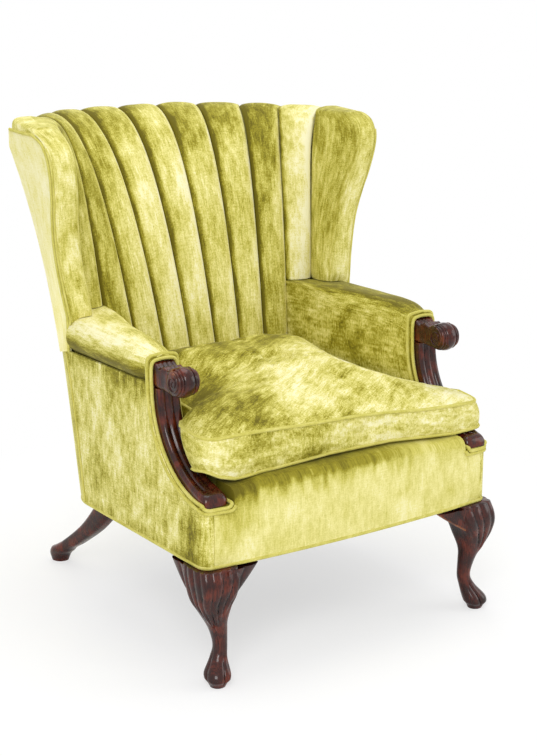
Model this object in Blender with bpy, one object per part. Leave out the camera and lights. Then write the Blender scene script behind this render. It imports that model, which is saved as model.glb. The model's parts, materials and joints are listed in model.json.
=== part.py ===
"""Fan-back wing armchair with carved cabriole legs, modelled piece by piece.

Metres, +Z up. The chair faces -Y and +X is the right-hand side seen from the front.
The origin lies on the floor, midway between the front of the feet and the rear of the back.
"""

import math

import bmesh
import bpy
import numpy as np
from mathutils import Vector

# Fits between neighbouring pieces
FIT = 0.0003
SEAT_FIT = 0.0006

# Base of the chair, measured on the fabric
FRONT_Y = -0.394
BODY_HALF_WIDTH = 0.340
CORNER_RADIUS = 0.022
FRONT_BOW = 0.014
SIDE_LENGTH = 0.438
BASE_DEPTH = 0.598
HEM_HEIGHT = 0.225
HEM_CORD_RADIUS = 0.004
PANEL_THICKNESS = 0.006

# Seat rails
RAIL_HEIGHT = 0.108
RAIL_THICKNESS = 0.025
STILE = 0.040
STILE_INSET = 0.010
REAR_STILE_X = 0.215
REAR_STILE_SETBACK = 0.526
BLOCK_HEIGHT = 0.050
BLOCK_LEG = 0.065

# Seat platform
WEBBING_WIDTH = 0.050
WEBBING_THICKNESS = 0.003
WEBBING_RUNS = 4
WEBBING_PITCH = 0.108
SPRING_WIRE = 0.0018
SPRING_RADIUS = 0.036
SPRING_WAIST = 0.72
SPRING_TURNS = 3.5
SPRING_SPREAD_X = 0.085
SPRING_SPREAD_Y = 0.100
DECK_THICKNESS = 0.037
DECK_REAR_HALF_WIDTH = 0.178
EDGE_ROLL = 0.060
COVER_THICKNESS = 0.0015

# Loose seat cushion
CUSHION_EAR_LEFT = 0.316
CUSHION_EAR_RIGHT = 0.350
CUSHION_HALF_FRONT = 0.272
CUSHION_HALF_REAR = 0.214
CUSHION_EAR_DEPTH = 0.100
CUSHION_EAR_STEP = 0.075
CUSHION_OVERHANG = 0.020
CUSHION_REAR_GAP = 0.006
CUSHION_BOXING = 0.078
CUSHION_CROWN = 0.054
CUSHION_CORNER_POWER = 9.0
CUSHION_BULGE = 0.005
CUSHION_CORD_RADIUS = 0.0035
CUSHION_EAR_DROOP = 0.012
CUSHION_EAR_FLARE = 0.030

# Arms and their carved fronts; heights count from the top of the rails
ARM_RISE = 0.260
ARM_ROLL_RADIUS = 0.036
ARM_ROLL_OVERHANG = 0.012
ARM_DROOP = 0.016
ARM_DROOP_LENGTH = 0.090
ARM_INNER_FRONT = 0.2775
ARM_INNER_REAR = 0.228
ARM_RAIL_HEIGHT = 0.040
POST_HALF_WIDTH = 0.024
POST_CENTRE_X = 0.310
POST_SWEEP = 0.157
POST_RISE = 0.162
POST_DEPTH = 0.022
POST_REEDS = 3
POST_REED_DEPTH = 0.0035
ARM_CORD_RADIUS = 0.0030

# Scroll knuckle on each arm
SCROLL_HALF_WIDTH = 0.029
SCROLL_RADIUS = 0.0275
SCROLL_END_RADIUS = 0.0235
SCROLL_REACH = 0.069
SCROLL_DROP = 0.003
BLOCK_DEPTH_BELOW = 0.024
BLOCK_RISE = 0.024
KNUCKLE_HALF_WIDTH = 0.0235

# Fan back: notches between the channels, from the seat to the ridge; heights count from the rails
CHANNELS = 9
CHANNEL_FOOT_WIDTH = 0.064
SEAT_DEPTH = 0.538
SEAT_RISE = 0.162
RIDGE_DEPTH = 0.778
RIDGE_RISE = 0.632
RIDGE_HALF_SPAN = 0.334
RIDGE_SAG = 0.211
RIDGE_POWER = 3.5
ROLL_RADIUS = 0.029
ROLL_GROWTH = 0.006
CHANNEL_CROWN_FOOT = 0.015
CHANNEL_CROWN_HEAD = 0.018
CHANNEL_CROWN_RIDGE = 0.007
CHANNEL_PAD = 0.026
CHANNEL_PAD_TOP = 0.011
BACK_POST_PLACE = 0.74
BACK_POST_WIDTH = 0.030
BACK_POST_DEPTH = 0.020
BACK_POST_FIT = 0.003
RAIL_PLACE = 0.80

# Wings
WING_FOOT_X = 0.3535
WING_FLARE = 0.183
WING_OVERHANG = 0.010
WING_FRONT_DEPTH = 0.466
WING_THICKNESS = 0.053
WING_RISE = 0.629
WING_PLUMP = 0.008
WING_ROUND = 0.015
WING_REAR_RISE = 0.014
WING_SQUARENESS = 4.5
WING_REAR_FIT = 0.0035
WING_TOP_FIT = 0.010
WING_PANEL_LAP = 0.0055
WING_BOARD = 0.018
# Height above the arm and backward offset along the wing's front edge
WING_EDGE = ((0.000, 0.000), (0.070, 0.010), (0.140, 0.013), (0.200, 0.002), (0.240, -0.010),
             (0.290, -0.018), (0.325, -0.014), (0.350, 0.004), (0.369, 0.045))

# Front legs: share of the hem height, lean to the side, lean to the front and half-width of each section
FRONT_LEG = (
    (0.995, -0.002, 0.002, 0.0400),
    (0.910, 0.000, 0.010, 0.0410),
    (0.820, 0.002, 0.014, 0.0390),
    (0.710, 0.004, 0.014, 0.0325),
    (0.580, 0.000, 0.017, 0.0235),
    (0.445, -0.008, 0.016, 0.0168),
    (0.310, -0.012, 0.015, 0.0138),
    (0.220, -0.007, 0.018, 0.0165),
    (0.130, 0.001, 0.027, 0.0235),
    (0.050, 0.005, 0.033, 0.0240),
    (0.000, 0.005, 0.033, 0.0185),
)
STILE_NECK = 0.034
STILE_POWER = 3.4
LEG_SIDES = 36
LEG_FLUTES = 9
KNEE_FLUTE_DEPTH = 0.0022
TOE_DEPTH = 0.0022

# Rear legs: share of the hem height, backward sweep, length along the sweep and width of each section
REAR_LEG = (
    (0.980, 0.002, 0.040, 0.038),
    (0.820, 0.022, 0.046, 0.038),
    (0.660, 0.044, 0.053, 0.036),
    (0.455, 0.085, 0.051, 0.033),
    (0.255, 0.141, 0.046, 0.031),
    (0.170, 0.170, 0.047, 0.038),
    (0.125, 0.182, 0.049, 0.044),
    (0.075, 0.191, 0.043, 0.040),
    (0.000, 0.193, 0.032, 0.031),
)
REAR_LEG_SPLAY = 0.235
REAR_LEG_SIDES = 16

# Knee brackets beside the front legs
BRACKET_LENGTH = 0.052
BRACKET_HEIGHT = 0.048
SIDE_BRACKET_HEIGHT = 0.042
BRACKET_TIP = 0.008
BRACKET_THICKNESS = 0.022

# Heights and depths that follow from the sizes above
RAIL_BOTTOM = HEM_HEIGHT + 0.010
RAIL_TOP = RAIL_BOTTOM + RAIL_HEIGHT
ARM_TOP_Z = RAIL_TOP + ARM_RISE
SEAT_LEVEL = RAIL_TOP + SEAT_RISE
RIDGE_Z = RAIL_TOP + RIDGE_RISE
WING_TOP_Z = RAIL_TOP + WING_RISE
SIDE_BACK_Y = FRONT_Y + SIDE_LENGTH
REAR_Y = FRONT_Y + BASE_DEPTH
SEAT_BACK_Y = FRONT_Y + SEAT_DEPTH
RIDGE_Y = FRONT_Y + RIDGE_DEPTH
WING_FRONT_Y = FRONT_Y + WING_FRONT_DEPTH
REAR_STILE_Y = FRONT_Y + REAR_STILE_SETBACK
POST_TOP_Z = RAIL_TOP + SEAT_FIT + POST_DEPTH + POST_RISE
DECK_BOTTOM = RAIL_TOP + FIT
DECK_TOP = DECK_BOTTOM + DECK_THICKNESS
PAD_BOTTOM = DECK_TOP + FIT
ARM_PAD_BOTTOM = RAIL_TOP + 0.012
ARM_FRONT_Y = FRONT_Y + POST_SWEEP + POST_DEPTH + 2 * FIT
ARM_ROLL_Z = ARM_TOP_Z - ARM_ROLL_RADIUS
ARM_UNDER_Z = ARM_ROLL_Z - ARM_ROLL_RADIUS + FIT
ARM_RAIL_TOP = ARM_UNDER_Z - FIT
ARM_RAIL_BOTTOM = ARM_RAIL_TOP - ARM_RAIL_HEIGHT
PANEL_TOP_Z = ARM_UNDER_Z - 0.002
HALF_CHANNELS = CHANNELS / 2
ARC_ANGLES = [math.pi / 2 * k / 12 for k in range(13)]
BACK_GRID = [0.0, 0.15, 0.3, 0.45, 0.6, 0.7, 0.8, 0.9, 1.0]
ROLL_STEPS = 5


# Mesh helpers

def clear_scene():
    for item in list(bpy.data.objects):
        bpy.data.objects.remove(item, do_unlink=True)


def make_finish(name, colour, roughness, metallic=0.0):
    finish = bpy.data.materials.new(name)
    finish.use_nodes = True
    shader = finish.node_tree.nodes["Principled BSDF"]
    shader.inputs["Base Color"].default_value = (*colour, 1.0)
    shader.inputs["Roughness"].default_value = roughness
    shader.inputs["Metallic"].default_value = metallic
    return finish


def make_empty(name, location, parent=None):
    empty = bpy.data.objects.new(name, None)
    bpy.context.scene.collection.objects.link(empty)
    empty.location = location
    empty.parent = parent
    return empty


def place(name, data, finish, parent):
    """Link a mesh or curve as a named piece under an empty, drawn in world coordinates."""
    piece = bpy.data.objects.new(name, data)
    bpy.context.scene.collection.objects.link(piece)
    data.materials.append(finish.copy())
    data.materials[0].name = name + "_finish"
    piece.parent = parent
    if parent is not None:
        piece.location = -parent.location
    return piece


def mesh_from(bm, name, smooth_angle=35):
    bmesh.ops.remove_doubles(bm, verts=bm.verts, dist=1e-6)
    bmesh.ops.dissolve_degenerate(bm, dist=1e-6, edges=bm.edges)
    bmesh.ops.recalc_face_normals(bm, faces=bm.faces)
    mesh = bpy.data.meshes.new(name)
    bm.to_mesh(mesh)
    bm.free()
    mesh.shade_smooth()
    mesh.set_sharp_from_angle(angle=math.radians(smooth_angle))
    return mesh


def loft(name, rings, finish, parent, strip=0):
    """Skin a closed body over rings of equal point count, with a cap at each end.

    A strip joins that many points at the start of an end ring to their partners at its end,
    so that a curved end is capped along its own curve; one face closes what is left.
    """
    bm = bmesh.new()
    loops = [[bm.verts.new(point) for point in ring] for ring in rings]
    count = len(loops[0])
    for near, far in zip(loops, loops[1:]):
        for i in range(count):
            j = (i + 1) % count
            bm.faces.new((near[i], near[j], far[j], far[i]))
    for ends in (loops[0], loops[-1]):
        for i in range(strip - 1):
            bm.faces.new((ends[i], ends[i + 1], ends[count - 2 - i], ends[count - 1 - i]))
        rest = ends[max(strip - 1, 0):count - max(strip - 1, 0)]
        if len(rest) > 2:
            bm.faces.new(rest)
    return place(name, mesh_from(bm, name), finish, parent)


def prism(name, outline, low, high, finish, parent):
    """Extrude a plan outline straight up from one height to another."""
    rings = [[(x, y, z) for x, y in outline] for z in (low, high)]
    return loft(name, rings, finish, parent)


def cord(name, points, radius, finish, parent, cyclic=False, resolution=0):
    """Sweep a round cord along points, as a curve with a bevel."""
    curve = bpy.data.curves.new(name, "CURVE")
    curve.dimensions = "3D"
    curve.bevel_depth = radius
    curve.bevel_resolution = resolution
    curve.use_fill_caps = True
    spline = curve.splines.new("POLY")
    spline.points.add(len(points) - 1)
    for target, point in zip(spline.points, points):
        target.co = (*point, 1.0)
    spline.use_cyclic_u = cyclic
    return place(name, curve, finish, parent)


def wire(name, points, radius, sides, finish, parent):
    """Sweep a wire of a few sides along points that turn about an upright axis."""
    rings = []
    for index, point in enumerate(points):
        ahead = Vector(points[min(index + 1, len(points) - 1)]) - Vector(points[max(index - 1, 0)])
        across = ahead.cross(Vector((0, 0, 1))).normalized()
        up = across.cross(ahead).normalized()
        rings.append([tuple(Vector(point) + radius * (math.cos(2 * math.pi * k / sides) * across
                                                      + math.sin(2 * math.pi * k / sides) * up))
                      for k in range(sides)])
    return loft(name, rings, finish, parent)


def through(rows, count):
    """Points of a smooth curve through the given rows, evenly spread between them."""
    rows = np.asarray(rows, dtype=float)
    padded = np.vstack((2 * rows[0] - rows[1], rows, 2 * rows[-1] - rows[-2]))
    out = []
    for position in np.linspace(0, len(rows) - 1, count):
        i = min(int(position), len(rows) - 2)
        t = position - i
        p0, p1, p2, p3 = padded[i:i + 4]
        out.append(0.5 * (2 * p1 + (p2 - p0) * t + (2 * p0 - 5 * p1 + 4 * p2 - p3) * t ** 2
                          + (3 * p1 - p0 - 3 * p2 + p3) * t ** 3))
    return np.array(out)


def mirror_x(points, side):
    return [(side * x, y, z) for x, y, z in points]


# Plan outline of the base and the outside of the back

def base_outline(inset=0.0):
    """Half plan outline of the base, right side, from the front centre to the rear centre."""
    half = BODY_HALF_WIDTH - inset
    front = FRONT_Y + inset
    radius = CORNER_RADIUS - inset
    points = [(x, front - front_bow(x)) for x in (0.0, 0.1, 0.2, 0.27)]
    for step in range(7):
        angle = math.radians(-90 + 15 * step)
        points.append((half - radius + radius * math.cos(angle),
                       front + radius + radius * math.sin(angle)))
    points.append((half, (front + SIDE_BACK_Y) / 2))
    for step in range(0, 13):
        points.append(rear_curve(1 - step / 12, inset))
    return points


def front_bow(x):
    """How far the front swells forward at a distance x from the centre."""
    edge = BODY_HALF_WIDTH - CORNER_RADIUS
    return FRONT_BOW * max(0.0, 1 - (x / edge) ** 2)


def rear_curve(u, inset=0.0):
    """Plan point on the rear outline at the hem: u is 1 at the side and 0 at the rear centre."""
    angle = u * math.pi / 2
    x = BODY_HALF_WIDTH * math.sin(angle)
    y = SIDE_BACK_Y + (REAR_Y - SIDE_BACK_Y) * math.cos(angle)
    normal = Vector((math.sin(angle) * (REAR_Y - SIDE_BACK_Y), math.cos(angle) * BODY_HALF_WIDTH))
    normal.normalize()
    return (x - inset * normal.x, y - inset * normal.y)


def rear_y_at(x, inset):
    """Depth of the rear outline, moved in by an inset, at a distance x from the centre."""
    samples = [rear_curve(k / 60, inset) for k in range(61)]
    return float(np.interp(abs(x), [p[0] for p in samples], [p[1] for p in samples]))


# The fan back: one column of the notch surface for each position u across the back

RIDGE_X = np.linspace(0, RIDGE_HALF_SPAN, 200)
RIDGE_ARC = np.concatenate(([0.0], np.cumsum(np.hypot(
    np.diff(RIDGE_X), np.diff(RIDGE_SAG * (RIDGE_X / RIDGE_HALF_SPAN) ** RIDGE_POWER)))))

# Rise of the back as a curve of backward share and upward share
BACK_CURVE = ((0.0, 0.0), (0.24, 0.468), (0.56, 0.936), (1.0, 1.0))


class Column:
    """The notch line at position u (-1 left wing seam, 0 centre, 1 right wing seam)."""

    def __init__(self, u):
        x = float(np.interp(abs(u) * RIDGE_ARC[-1], RIDGE_ARC, RIDGE_X))
        share = x / RIDGE_HALF_SPAN
        slope = RIDGE_SAG * RIDGE_POWER / RIDGE_HALF_SPAN * share ** (RIDGE_POWER - 1)
        side = -1 if u < 0 else 1
        self.head = Vector((side * x, RIDGE_Y - RIDGE_SAG * share ** RIDGE_POWER, 0))
        self.foot = Vector((u * HALF_CHANNELS * CHANNEL_FOOT_WIDTH, SEAT_BACK_Y, 0))
        self.outward = Vector((side * slope, 1, 0)).normalized()
        reach = (self.head - self.foot).length
        last = BACK_CURVE[2]
        self.roll = ROLL_RADIUS + ROLL_GROWTH * abs(u) ** 6
        self.end_angle = math.atan2(reach * (1 - last[0]), (RIDGE_Z - SEAT_LEVEL) * (1 - last[1]))
        self.rise = RIDGE_Z - self.roll * (1 - math.sin(self.end_angle)) - SEAT_LEVEL
        self.reach = reach

    def shares(self, t):
        """Backward and upward share, and their rates, at curve position t (below 0: straight on)."""
        b1, b2, b3 = (np.array(p) for p in BACK_CURVE[1:])
        if t < 0:
            rate = 3 * b1
            return rate * t, rate
        value = 3 * (1 - t) ** 2 * t * b1 + 3 * (1 - t) * t ** 2 * b2 + t ** 3 * b3
        rate = 3 * (1 - t) ** 2 * b1 + 6 * (1 - t) * t * (b2 - b1) + 3 * t ** 2 * (b3 - b2)
        return value, rate

    def at(self, t):
        """Point on the notch line and the unit vector out of the padding towards the sitter."""
        value, rate = self.shares(t)
        angle = math.atan2(self.reach * rate[0], self.rise * rate[1])
        point = self.foot + (self.head - self.foot) * float(value[0])
        point.z = SEAT_LEVEL + self.rise * float(value[1])
        turn = min(max(float(value[0]), 0.0), 1.0)
        flat = Vector((0, 1, 0)).lerp(self.outward, turn).normalized()
        return point, -math.cos(angle) * flat + math.sin(angle) * Vector((0, 0, 1))

    def over(self, angle):
        """Point and outward vector on the roll that carries the padding over the top."""
        centre = self.head.copy()
        centre.z = SEAT_LEVEL + self.rise
        centre += self.roll * (math.cos(self.end_angle) * self.outward
                                 - math.sin(self.end_angle) * Vector((0, 0, 1)))
        out = -math.cos(angle) * self.outward + math.sin(angle) * Vector((0, 0, 1))
        return centre + self.roll * out, out

    def t_at(self, z):
        """Curve position where the notch line reaches a height."""
        share = (z - SEAT_LEVEL) / self.rise
        if share < 0:
            return share / (3 * BACK_CURVE[1][1])
        grid = np.linspace(0, 1, 80)
        return float(np.interp(share, [self.shares(t)[0][1] for t in grid], grid))

    def outer_top(self):
        return self.over(math.pi)[0]


def outside(u, z):
    """Outer surface of the fabric behind the back at position u and height z."""
    top = Column(u).outer_top()
    side = -1 if u < 0 else 1
    x, y = rear_curve(abs(u))
    share = (z - HEM_HEIGHT) / (top.z - HEM_HEIGHT)
    return Vector((side * x + (top.x - side * x) * share ** 2.6,
                   y + (top.y - y) * (0.7 * share + 0.3 * share ** 3), z))


def pad_thickness(t):
    """Padding behind the notch line, thinner where it folds over the top."""
    return CHANNEL_PAD + (CHANNEL_PAD_TOP - CHANNEL_PAD) * max(0.0, min(float(t), 1.0)) ** 3


def back_levels(bottom_z):
    """Curve positions shared by every pad that starts at a height, above its own first point."""
    start = max(Column(u).t_at(bottom_z) for u in (0.0, 0.5, 1.0))
    return [t for t in BACK_GRID if t > start + 0.02]


def roll_angles(column):
    turn = math.pi - column.end_angle
    return [column.end_angle + turn * step / ROLL_STEPS for step in range(1, ROLL_STEPS + 1)]


def channel_section(u, bottom_z, across):
    """Closed section of a channel pad at column u; across is -1 to 1 over the channel."""
    column = Column(u)
    swell = math.sqrt(max(0.0, 1 - across * across))
    front, back = [], []
    first = column.t_at(bottom_z)
    for t in [first] + back_levels(bottom_z):
        point, out = column.at(t)
        share = max(0.0, t)
        crown = CHANNEL_CROWN_FOOT + (CHANNEL_CROWN_HEAD - CHANNEL_CROWN_FOOT) * share
        crown += (CHANNEL_CROWN_RIDGE - CHANNEL_CROWN_HEAD) * share ** 4
        low = point + crown * swell * out
        high = point - pad_thickness(t) * out
        if t == first:
            low.z = high.z = bottom_z
        front.append(low)
        back.append(high)
    for step, angle in enumerate(roll_angles(column), 1):
        point, out = column.over(angle)
        fade = 1 - (step / ROLL_STEPS) ** 2
        front.append(point + CHANNEL_CROWN_RIDGE * swell * fade * out)
        back.append(point - CHANNEL_PAD_TOP * out)
    return [tuple(p) for p in front + back[::-1]]


def channel(index, finish, parent):
    """One stuffed channel of the fan; the two outermost stand on the arms."""
    width = 2 / CHANNELS
    fit = FIT / (HALF_CHANNELS * CHANNEL_FOOT_WIDTH)
    low = -1 + index * width + fit
    high = -1 + (index + 1) * width - fit
    on_arm = index in (0, CHANNELS - 1)
    bottom = ARM_TOP_Z + SEAT_FIT if on_arm else PAD_BOTTOM
    rings = []
    for across in (-1, -0.9, -0.6, 0, 0.6, 0.9, 1):
        rings.append(channel_section(low + (high - low) * (across + 1) / 2, bottom, across))
    return loft(f"back_channel_{index + 1}", rings, finish, parent, strip=len(rings[0]) // 2)


def top_rail(finish, parent):
    """Curved crest rail under the fold of the padding."""
    gap = 2 * SEAT_FIT
    edges = []
    for index in range(CHANNELS):
        for across in (-1, -0.6, 0, 0.6):
            edges.append(-1 + (index + (across + 1) / 2) * 2 / CHANNELS)
    edges[0] = -0.955
    edges.append(0.955)
    edges = [u for u in edges if abs(u) <= 0.955]
    rings = []
    for u in edges:
        column = Column(u)
        ring = []
        for t in [t for t in BACK_GRID if t >= RAIL_PLACE]:
            point, out = column.at(t)
            ring.append(point - (pad_thickness(t) + gap) * out)
        for angle in roll_angles(column):
            point, out = column.over(angle)
            ring.append(point - (CHANNEL_PAD_TOP + gap) * out)
        ring.append(back_cavity(u, column.outer_top().z - gap))
        ring.append(back_cavity(u, ring[0].z))
        rings.append([tuple(p) for p in ring])
    return loft("top_rail", rings, finish, parent)


def outside_normal(u, z):
    """Plan direction straight out of the outside back at position u and height z."""
    step = 0.004
    run = outside(min(u + step, 1.0), z) - outside(max(u - step, -1.0), z)
    return Vector((-run.y, run.x, 0)).normalized()


def back_cavity(u, z):
    """Inside face of the outside back panel at position u and height z."""
    return outside(u, z) - (PANEL_THICKNESS + 3 * SEAT_FIT) * outside_normal(u, z)


def back_post(side, finish, parent):
    """Raked back post behind the padding, standing on the rear leg and the rails."""
    column = Column(BACK_POST_PLACE)
    rail_point, rail_out = column.at(RAIL_PLACE)
    top = (rail_point - (pad_thickness(RAIL_PLACE) + SEAT_FIT) * rail_out).z - 0.006
    rings = []
    for z in np.linspace(RAIL_TOP + FIT, top, 9):
        z = float(z)
        t = column.t_at(z)
        point, out = column.at(t)
        flat = Vector((-out.x, -out.y, 0))
        back = flat.normalized()
        along = Vector((back.y, -back.x, 0)) * BACK_POST_WIDTH / 2
        near = point + back * ((pad_thickness(t) + BACK_POST_FIT) / flat.length)
        far = near + back * BACK_POST_DEPTH
        ring = (near - along, near + along, far + along, far - along)
        rings.append([(side * p.x, p.y, z) for p in ring])
    name = "back_post_right" if side > 0 else "back_post_left"
    return loft(name, rings, finish, parent)


def outside_back(finish, parent):
    """Thin upholstered panel that closes the rear, from the hem to the fold of the channels."""
    rings = []
    for u in np.linspace(-1 + 0.002, 1 - 0.002, 21):
        u = float(u)
        top = Column(u).outer_top().z - FIT
        outer, inner = [], []
        for z in np.linspace(HEM_HEIGHT + 2 * HEM_CORD_RADIUS, top, 7):
            point = outside(u, float(z))
            outer.append(tuple(point))
            inner.append(tuple(point - PANEL_THICKNESS * outside_normal(u, float(z))))
        rings.append(outer + inner[::-1])
    return loft("outside_back", rings, finish, parent, strip=len(rings[0]) // 2)


# Wings

WING_CURVE = through(WING_EDGE, 65)
WING_CAP_Z = WING_TOP_Z - WING_ROUND


def wing_front(z):
    """Depth of the wing's front edge at a height: hollow above the arm, full at the top corner."""
    return WING_FRONT_Y + float(np.interp(z - ARM_TOP_Z, WING_CURVE[:, 0], WING_CURVE[:, 1]))


def wing_corners(z):
    """Inner rear, inner front, outer rear and outer front corners of the wing at a height."""
    seam = Column(1.0)
    inner_rear = seam.at(seam.t_at(min(z, SEAT_LEVEL + seam.rise)))[0]
    outer_rear = outside(1.0, min(z, seam.outer_top().z)) + Vector((WING_OVERHANG, 0, 0))
    middle = wing_front(z) + WING_THICKNESS / 2
    face = WING_FOOT_X + WING_FLARE * (min(z, WING_CAP_Z) - ARM_TOP_Z)
    outer_front = Vector((face, min(middle, outer_rear.y - 0.006), z))
    inner_front = Vector((face - WING_THICKNESS, min(middle, inner_rear.y - 0.006), z))
    inner_rear.z = z
    outer_rear.z = z
    return inner_rear, inner_front, outer_rear, outer_front


def wing_levels():
    return [float(z) for z in np.linspace(ARM_TOP_Z + SEAT_FIT, WING_CAP_Z, 9)]


def wing_pad(side, finish, parent):
    """Padded wing with a rounded front border, folded over the board inside it."""
    rings = []
    hollow = PANEL_THICKNESS + WING_BOARD + 6 * FIT
    levels = [(z, 1.0, hollow, 0.0) for z in wing_levels()] + [(WING_CAP_Z + FIT, 1.0, 0.0, 0.0)]
    for degrees in (25, 48, 70, 86):
        lift = math.sin(math.radians(degrees))
        squeeze = (1 - lift ** WING_SQUARENESS) ** (1 / WING_SQUARENESS)
        levels.append((WING_CAP_Z + WING_ROUND * lift, squeeze, 0.0, WING_REAR_RISE * lift))
    for z, squeeze, cut, rise in levels:
        inner_rear, inner_front, outer_rear, outer_front = wing_corners(z)
        rear_mid, front_mid = (inner_rear + outer_rear) / 2, (inner_front + outer_front) / 2
        inner_rear = rear_mid.lerp(inner_rear, squeeze)
        outer_rear = rear_mid.lerp(outer_rear, squeeze)
        inner_front = front_mid.lerp(inner_front, squeeze)
        outer_front = front_mid.lerp(outer_front, squeeze)
        ring = []
        for along in (0.06, 0.25, 0.5, 0.75, 1.0):
            point = inner_rear.lerp(inner_front, along)
            plump = WING_PLUMP * math.sin(math.pi * along) * squeeze
            ring.append((point.x - plump, point.y, z + 0.6 * rise * (1 - along)))
        half = (outer_front - inner_front) / 2
        nose = max(0.006, front_mid.y - wing_front(z))
        for step in range(1, 7):
            angle = math.pi * step / 6
            tip = front_mid - half * math.cos(angle)
            ring.append((tip.x, tip.y - nose * math.sin(angle), z))
        trim = WING_TOP_FIT if z > WING_CAP_Z - 0.001 else 0.0
        for step, (x, y) in enumerate(wing_face(outer_rear, outer_front, -trim)[::-1]):
            ring.append((x - cut, y, z + rise * step / 3))
        rings.append([(side * x, y, zz) for x, y, zz in ring])
    name = "wing_pad_right" if side > 0 else "wing_pad_left"
    return loft(name, rings, finish, parent)


def wing_face(outer_rear, outer_front, lap=0.0, gap=0.0):
    """Plan points across the outer face of the wing, from the rear to the front.

    A lap carries the rear end on along the face, past the edge of the outside back.
    """
    rear = outer_rear + Vector((0, -WING_REAR_FIT, 0))
    front = outer_front + Vector((0, 0.0010 + gap, 0))
    start = -lap / max((front - rear).length, WING_TOP_FIT)
    return [tuple(rear.lerp(front, share))[:2] for share in (min(start, 0.3), 0.33, 0.67, 1)]


def wing_slab(name, side, levels, near, far, lap, finish, parent):
    """Upright slab in the wing between two depths measured in from its outer face."""
    rings = []
    for z in levels:
        face = wing_face(*wing_corners(z)[2:], lap, gap=2 * FIT)
        ring = [(x - far, y, z) for x, y in face] + [(x - near, y, z) for x, y in face[::-1]]
        rings.append(mirror_x(ring, side))
    return loft(name, rings, finish, parent)


def wing_board(side, finish, parent):
    """Wooden wing board, standing behind the arm roll on the arm rail."""
    low = ARM_RAIL_TOP + FIT
    levels = [low] + wing_levels()[:-1]
    near = PANEL_THICKNESS + 3 * FIT
    name = "wing_board_right" if side > 0 else "wing_board_left"
    return wing_slab(name, side, levels, near, near + WING_BOARD, 0.0, finish, parent)


def outer_wing(side, finish, parent):
    """Thin outside panel of the wing, from below the arm roll to the top border."""
    low = PANEL_TOP_Z + FIT
    levels = [low] + wing_levels()[:-1] + [WING_CAP_Z - FIT]
    name = "outer_wing_right" if side > 0 else "outer_wing_left"
    return wing_slab(name, side, levels, 0.0, PANEL_THICKNESS, WING_PANEL_LAP, finish, parent)


# Arms

def post_arc(angle, offset):
    """Side-view point of the arm post's sweep; offset moves it back into the arm."""
    return (FRONT_Y + (POST_SWEEP + offset) * math.cos(angle),
            POST_TOP_Z - (POST_RISE + offset) * math.sin(angle))


def arm_front(z):
    """Depth of the arm's padded front at a height, just behind the carved post."""
    if z >= POST_TOP_Z:
        return ARM_FRONT_Y
    drop = min((POST_TOP_Z - z) / (POST_RISE + POST_DEPTH + 2 * FIT), 1.0)
    return FRONT_Y + (POST_SWEEP + POST_DEPTH + 2 * FIT) * math.sqrt(1 - drop * drop)


def arm_inner(y):
    """Inner face of the arm: the seat narrows a little towards the back."""
    share = (y - ARM_FRONT_Y) / (SEAT_BACK_Y - ARM_FRONT_Y)
    return ARM_INNER_FRONT + (ARM_INNER_REAR - ARM_INNER_FRONT) * min(max(share, 0.0), 1.0)


ARM_RAIL_INNER = BODY_HALF_WIDTH - PANEL_THICKNESS - 0.032
ARM_RAIL_OUTER = BODY_HALF_WIDTH - PANEL_THICKNESS


def arc_levels(low):
    """Heights of the post's sweep used by the pieces that follow it, from a lowest height up."""
    rise = POST_RISE + POST_DEPTH + 2 * FIT
    return [POST_TOP_Z - rise * math.sin(angle) for angle in ARC_ANGLES[::-1]
            if POST_TOP_Z - rise * math.sin(angle) > low + 0.002]


def arm_section(y, full):
    """Closed section of the arm pad as x, z pairs: inside face, rolled top and outer roll."""
    inner = arm_inner(y)
    droop = ARM_DROOP * max(0.0, 1 - (y - ARM_FRONT_Y) / ARM_DROOP_LENGTH) ** 2
    roll_x = BODY_HALF_WIDTH + ARM_ROLL_OVERHANG - ARM_ROLL_RADIUS
    edge = ARM_RAIL_INNER - FIT
    heights = [ARM_PAD_BOTTOM] + arc_levels(ARM_PAD_BOTTOM)
    section = [(inner, z) for z in heights]
    soft = 1.0 if full else 0.25
    section.append((inner + 0.006 * soft, ARM_TOP_Z - 0.014 * soft - droop))
    section.append((inner + 0.022 * soft, ARM_TOP_Z - 0.003 * soft - droop))
    if full:
        for step in range(6):
            angle = math.radians(90 - 30 * step)
            rise = ARM_ROLL_RADIUS * math.sin(angle) - droop * max(0.0, math.sin(angle))
            section.append((roll_x + ARM_ROLL_RADIUS * math.cos(angle), ARM_ROLL_Z + rise))
        section.append((ARM_RAIL_OUTER, ARM_UNDER_Z))
    else:
        section += [(edge, float(z)) for z in np.linspace(ARM_TOP_Z - 0.001, ARM_UNDER_Z + 0.004, 7)]
    section.append((edge, ARM_UNDER_Z))
    section += [(edge, z) for z in heights[::-1]]
    return section


def arm_pad(side, finish, parent):
    """Padded arm: inside face, rolled top and outer roll over the arm rail."""
    roll_end = min(wing_corners(z)[3].y for z in (PANEL_TOP_Z, ARM_ROLL_Z, ARM_TOP_Z)) - FIT
    rings = []
    for share in (0, 0.08, 0.2, 0.35, 0.65, 1.0):
        ring = []
        guide = ARM_FRONT_Y + share * (roll_end - ARM_FRONT_Y)
        for index, (x, z) in enumerate(arm_section(guide, True)):
            start = arm_front(z)
            y = start + share * (roll_end - start)
            ring.append((side * arm_section(y, True)[index][0], y, z))
        rings.append(ring)
    for y in (roll_end, SEAT_BACK_Y - 0.03, SEAT_BACK_Y + 0.004):
        rings.append([(side * x, y - 0.45 * (x - ARM_INNER_REAR) * (y > SEAT_BACK_Y), z)
                      for x, z in arm_section(y, False)])
    name = "arm_pad_right" if side > 0 else "arm_pad_left"
    return loft(name, rings, finish, parent, strip=1 + len(arc_levels(ARM_PAD_BOTTOM)))


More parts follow.
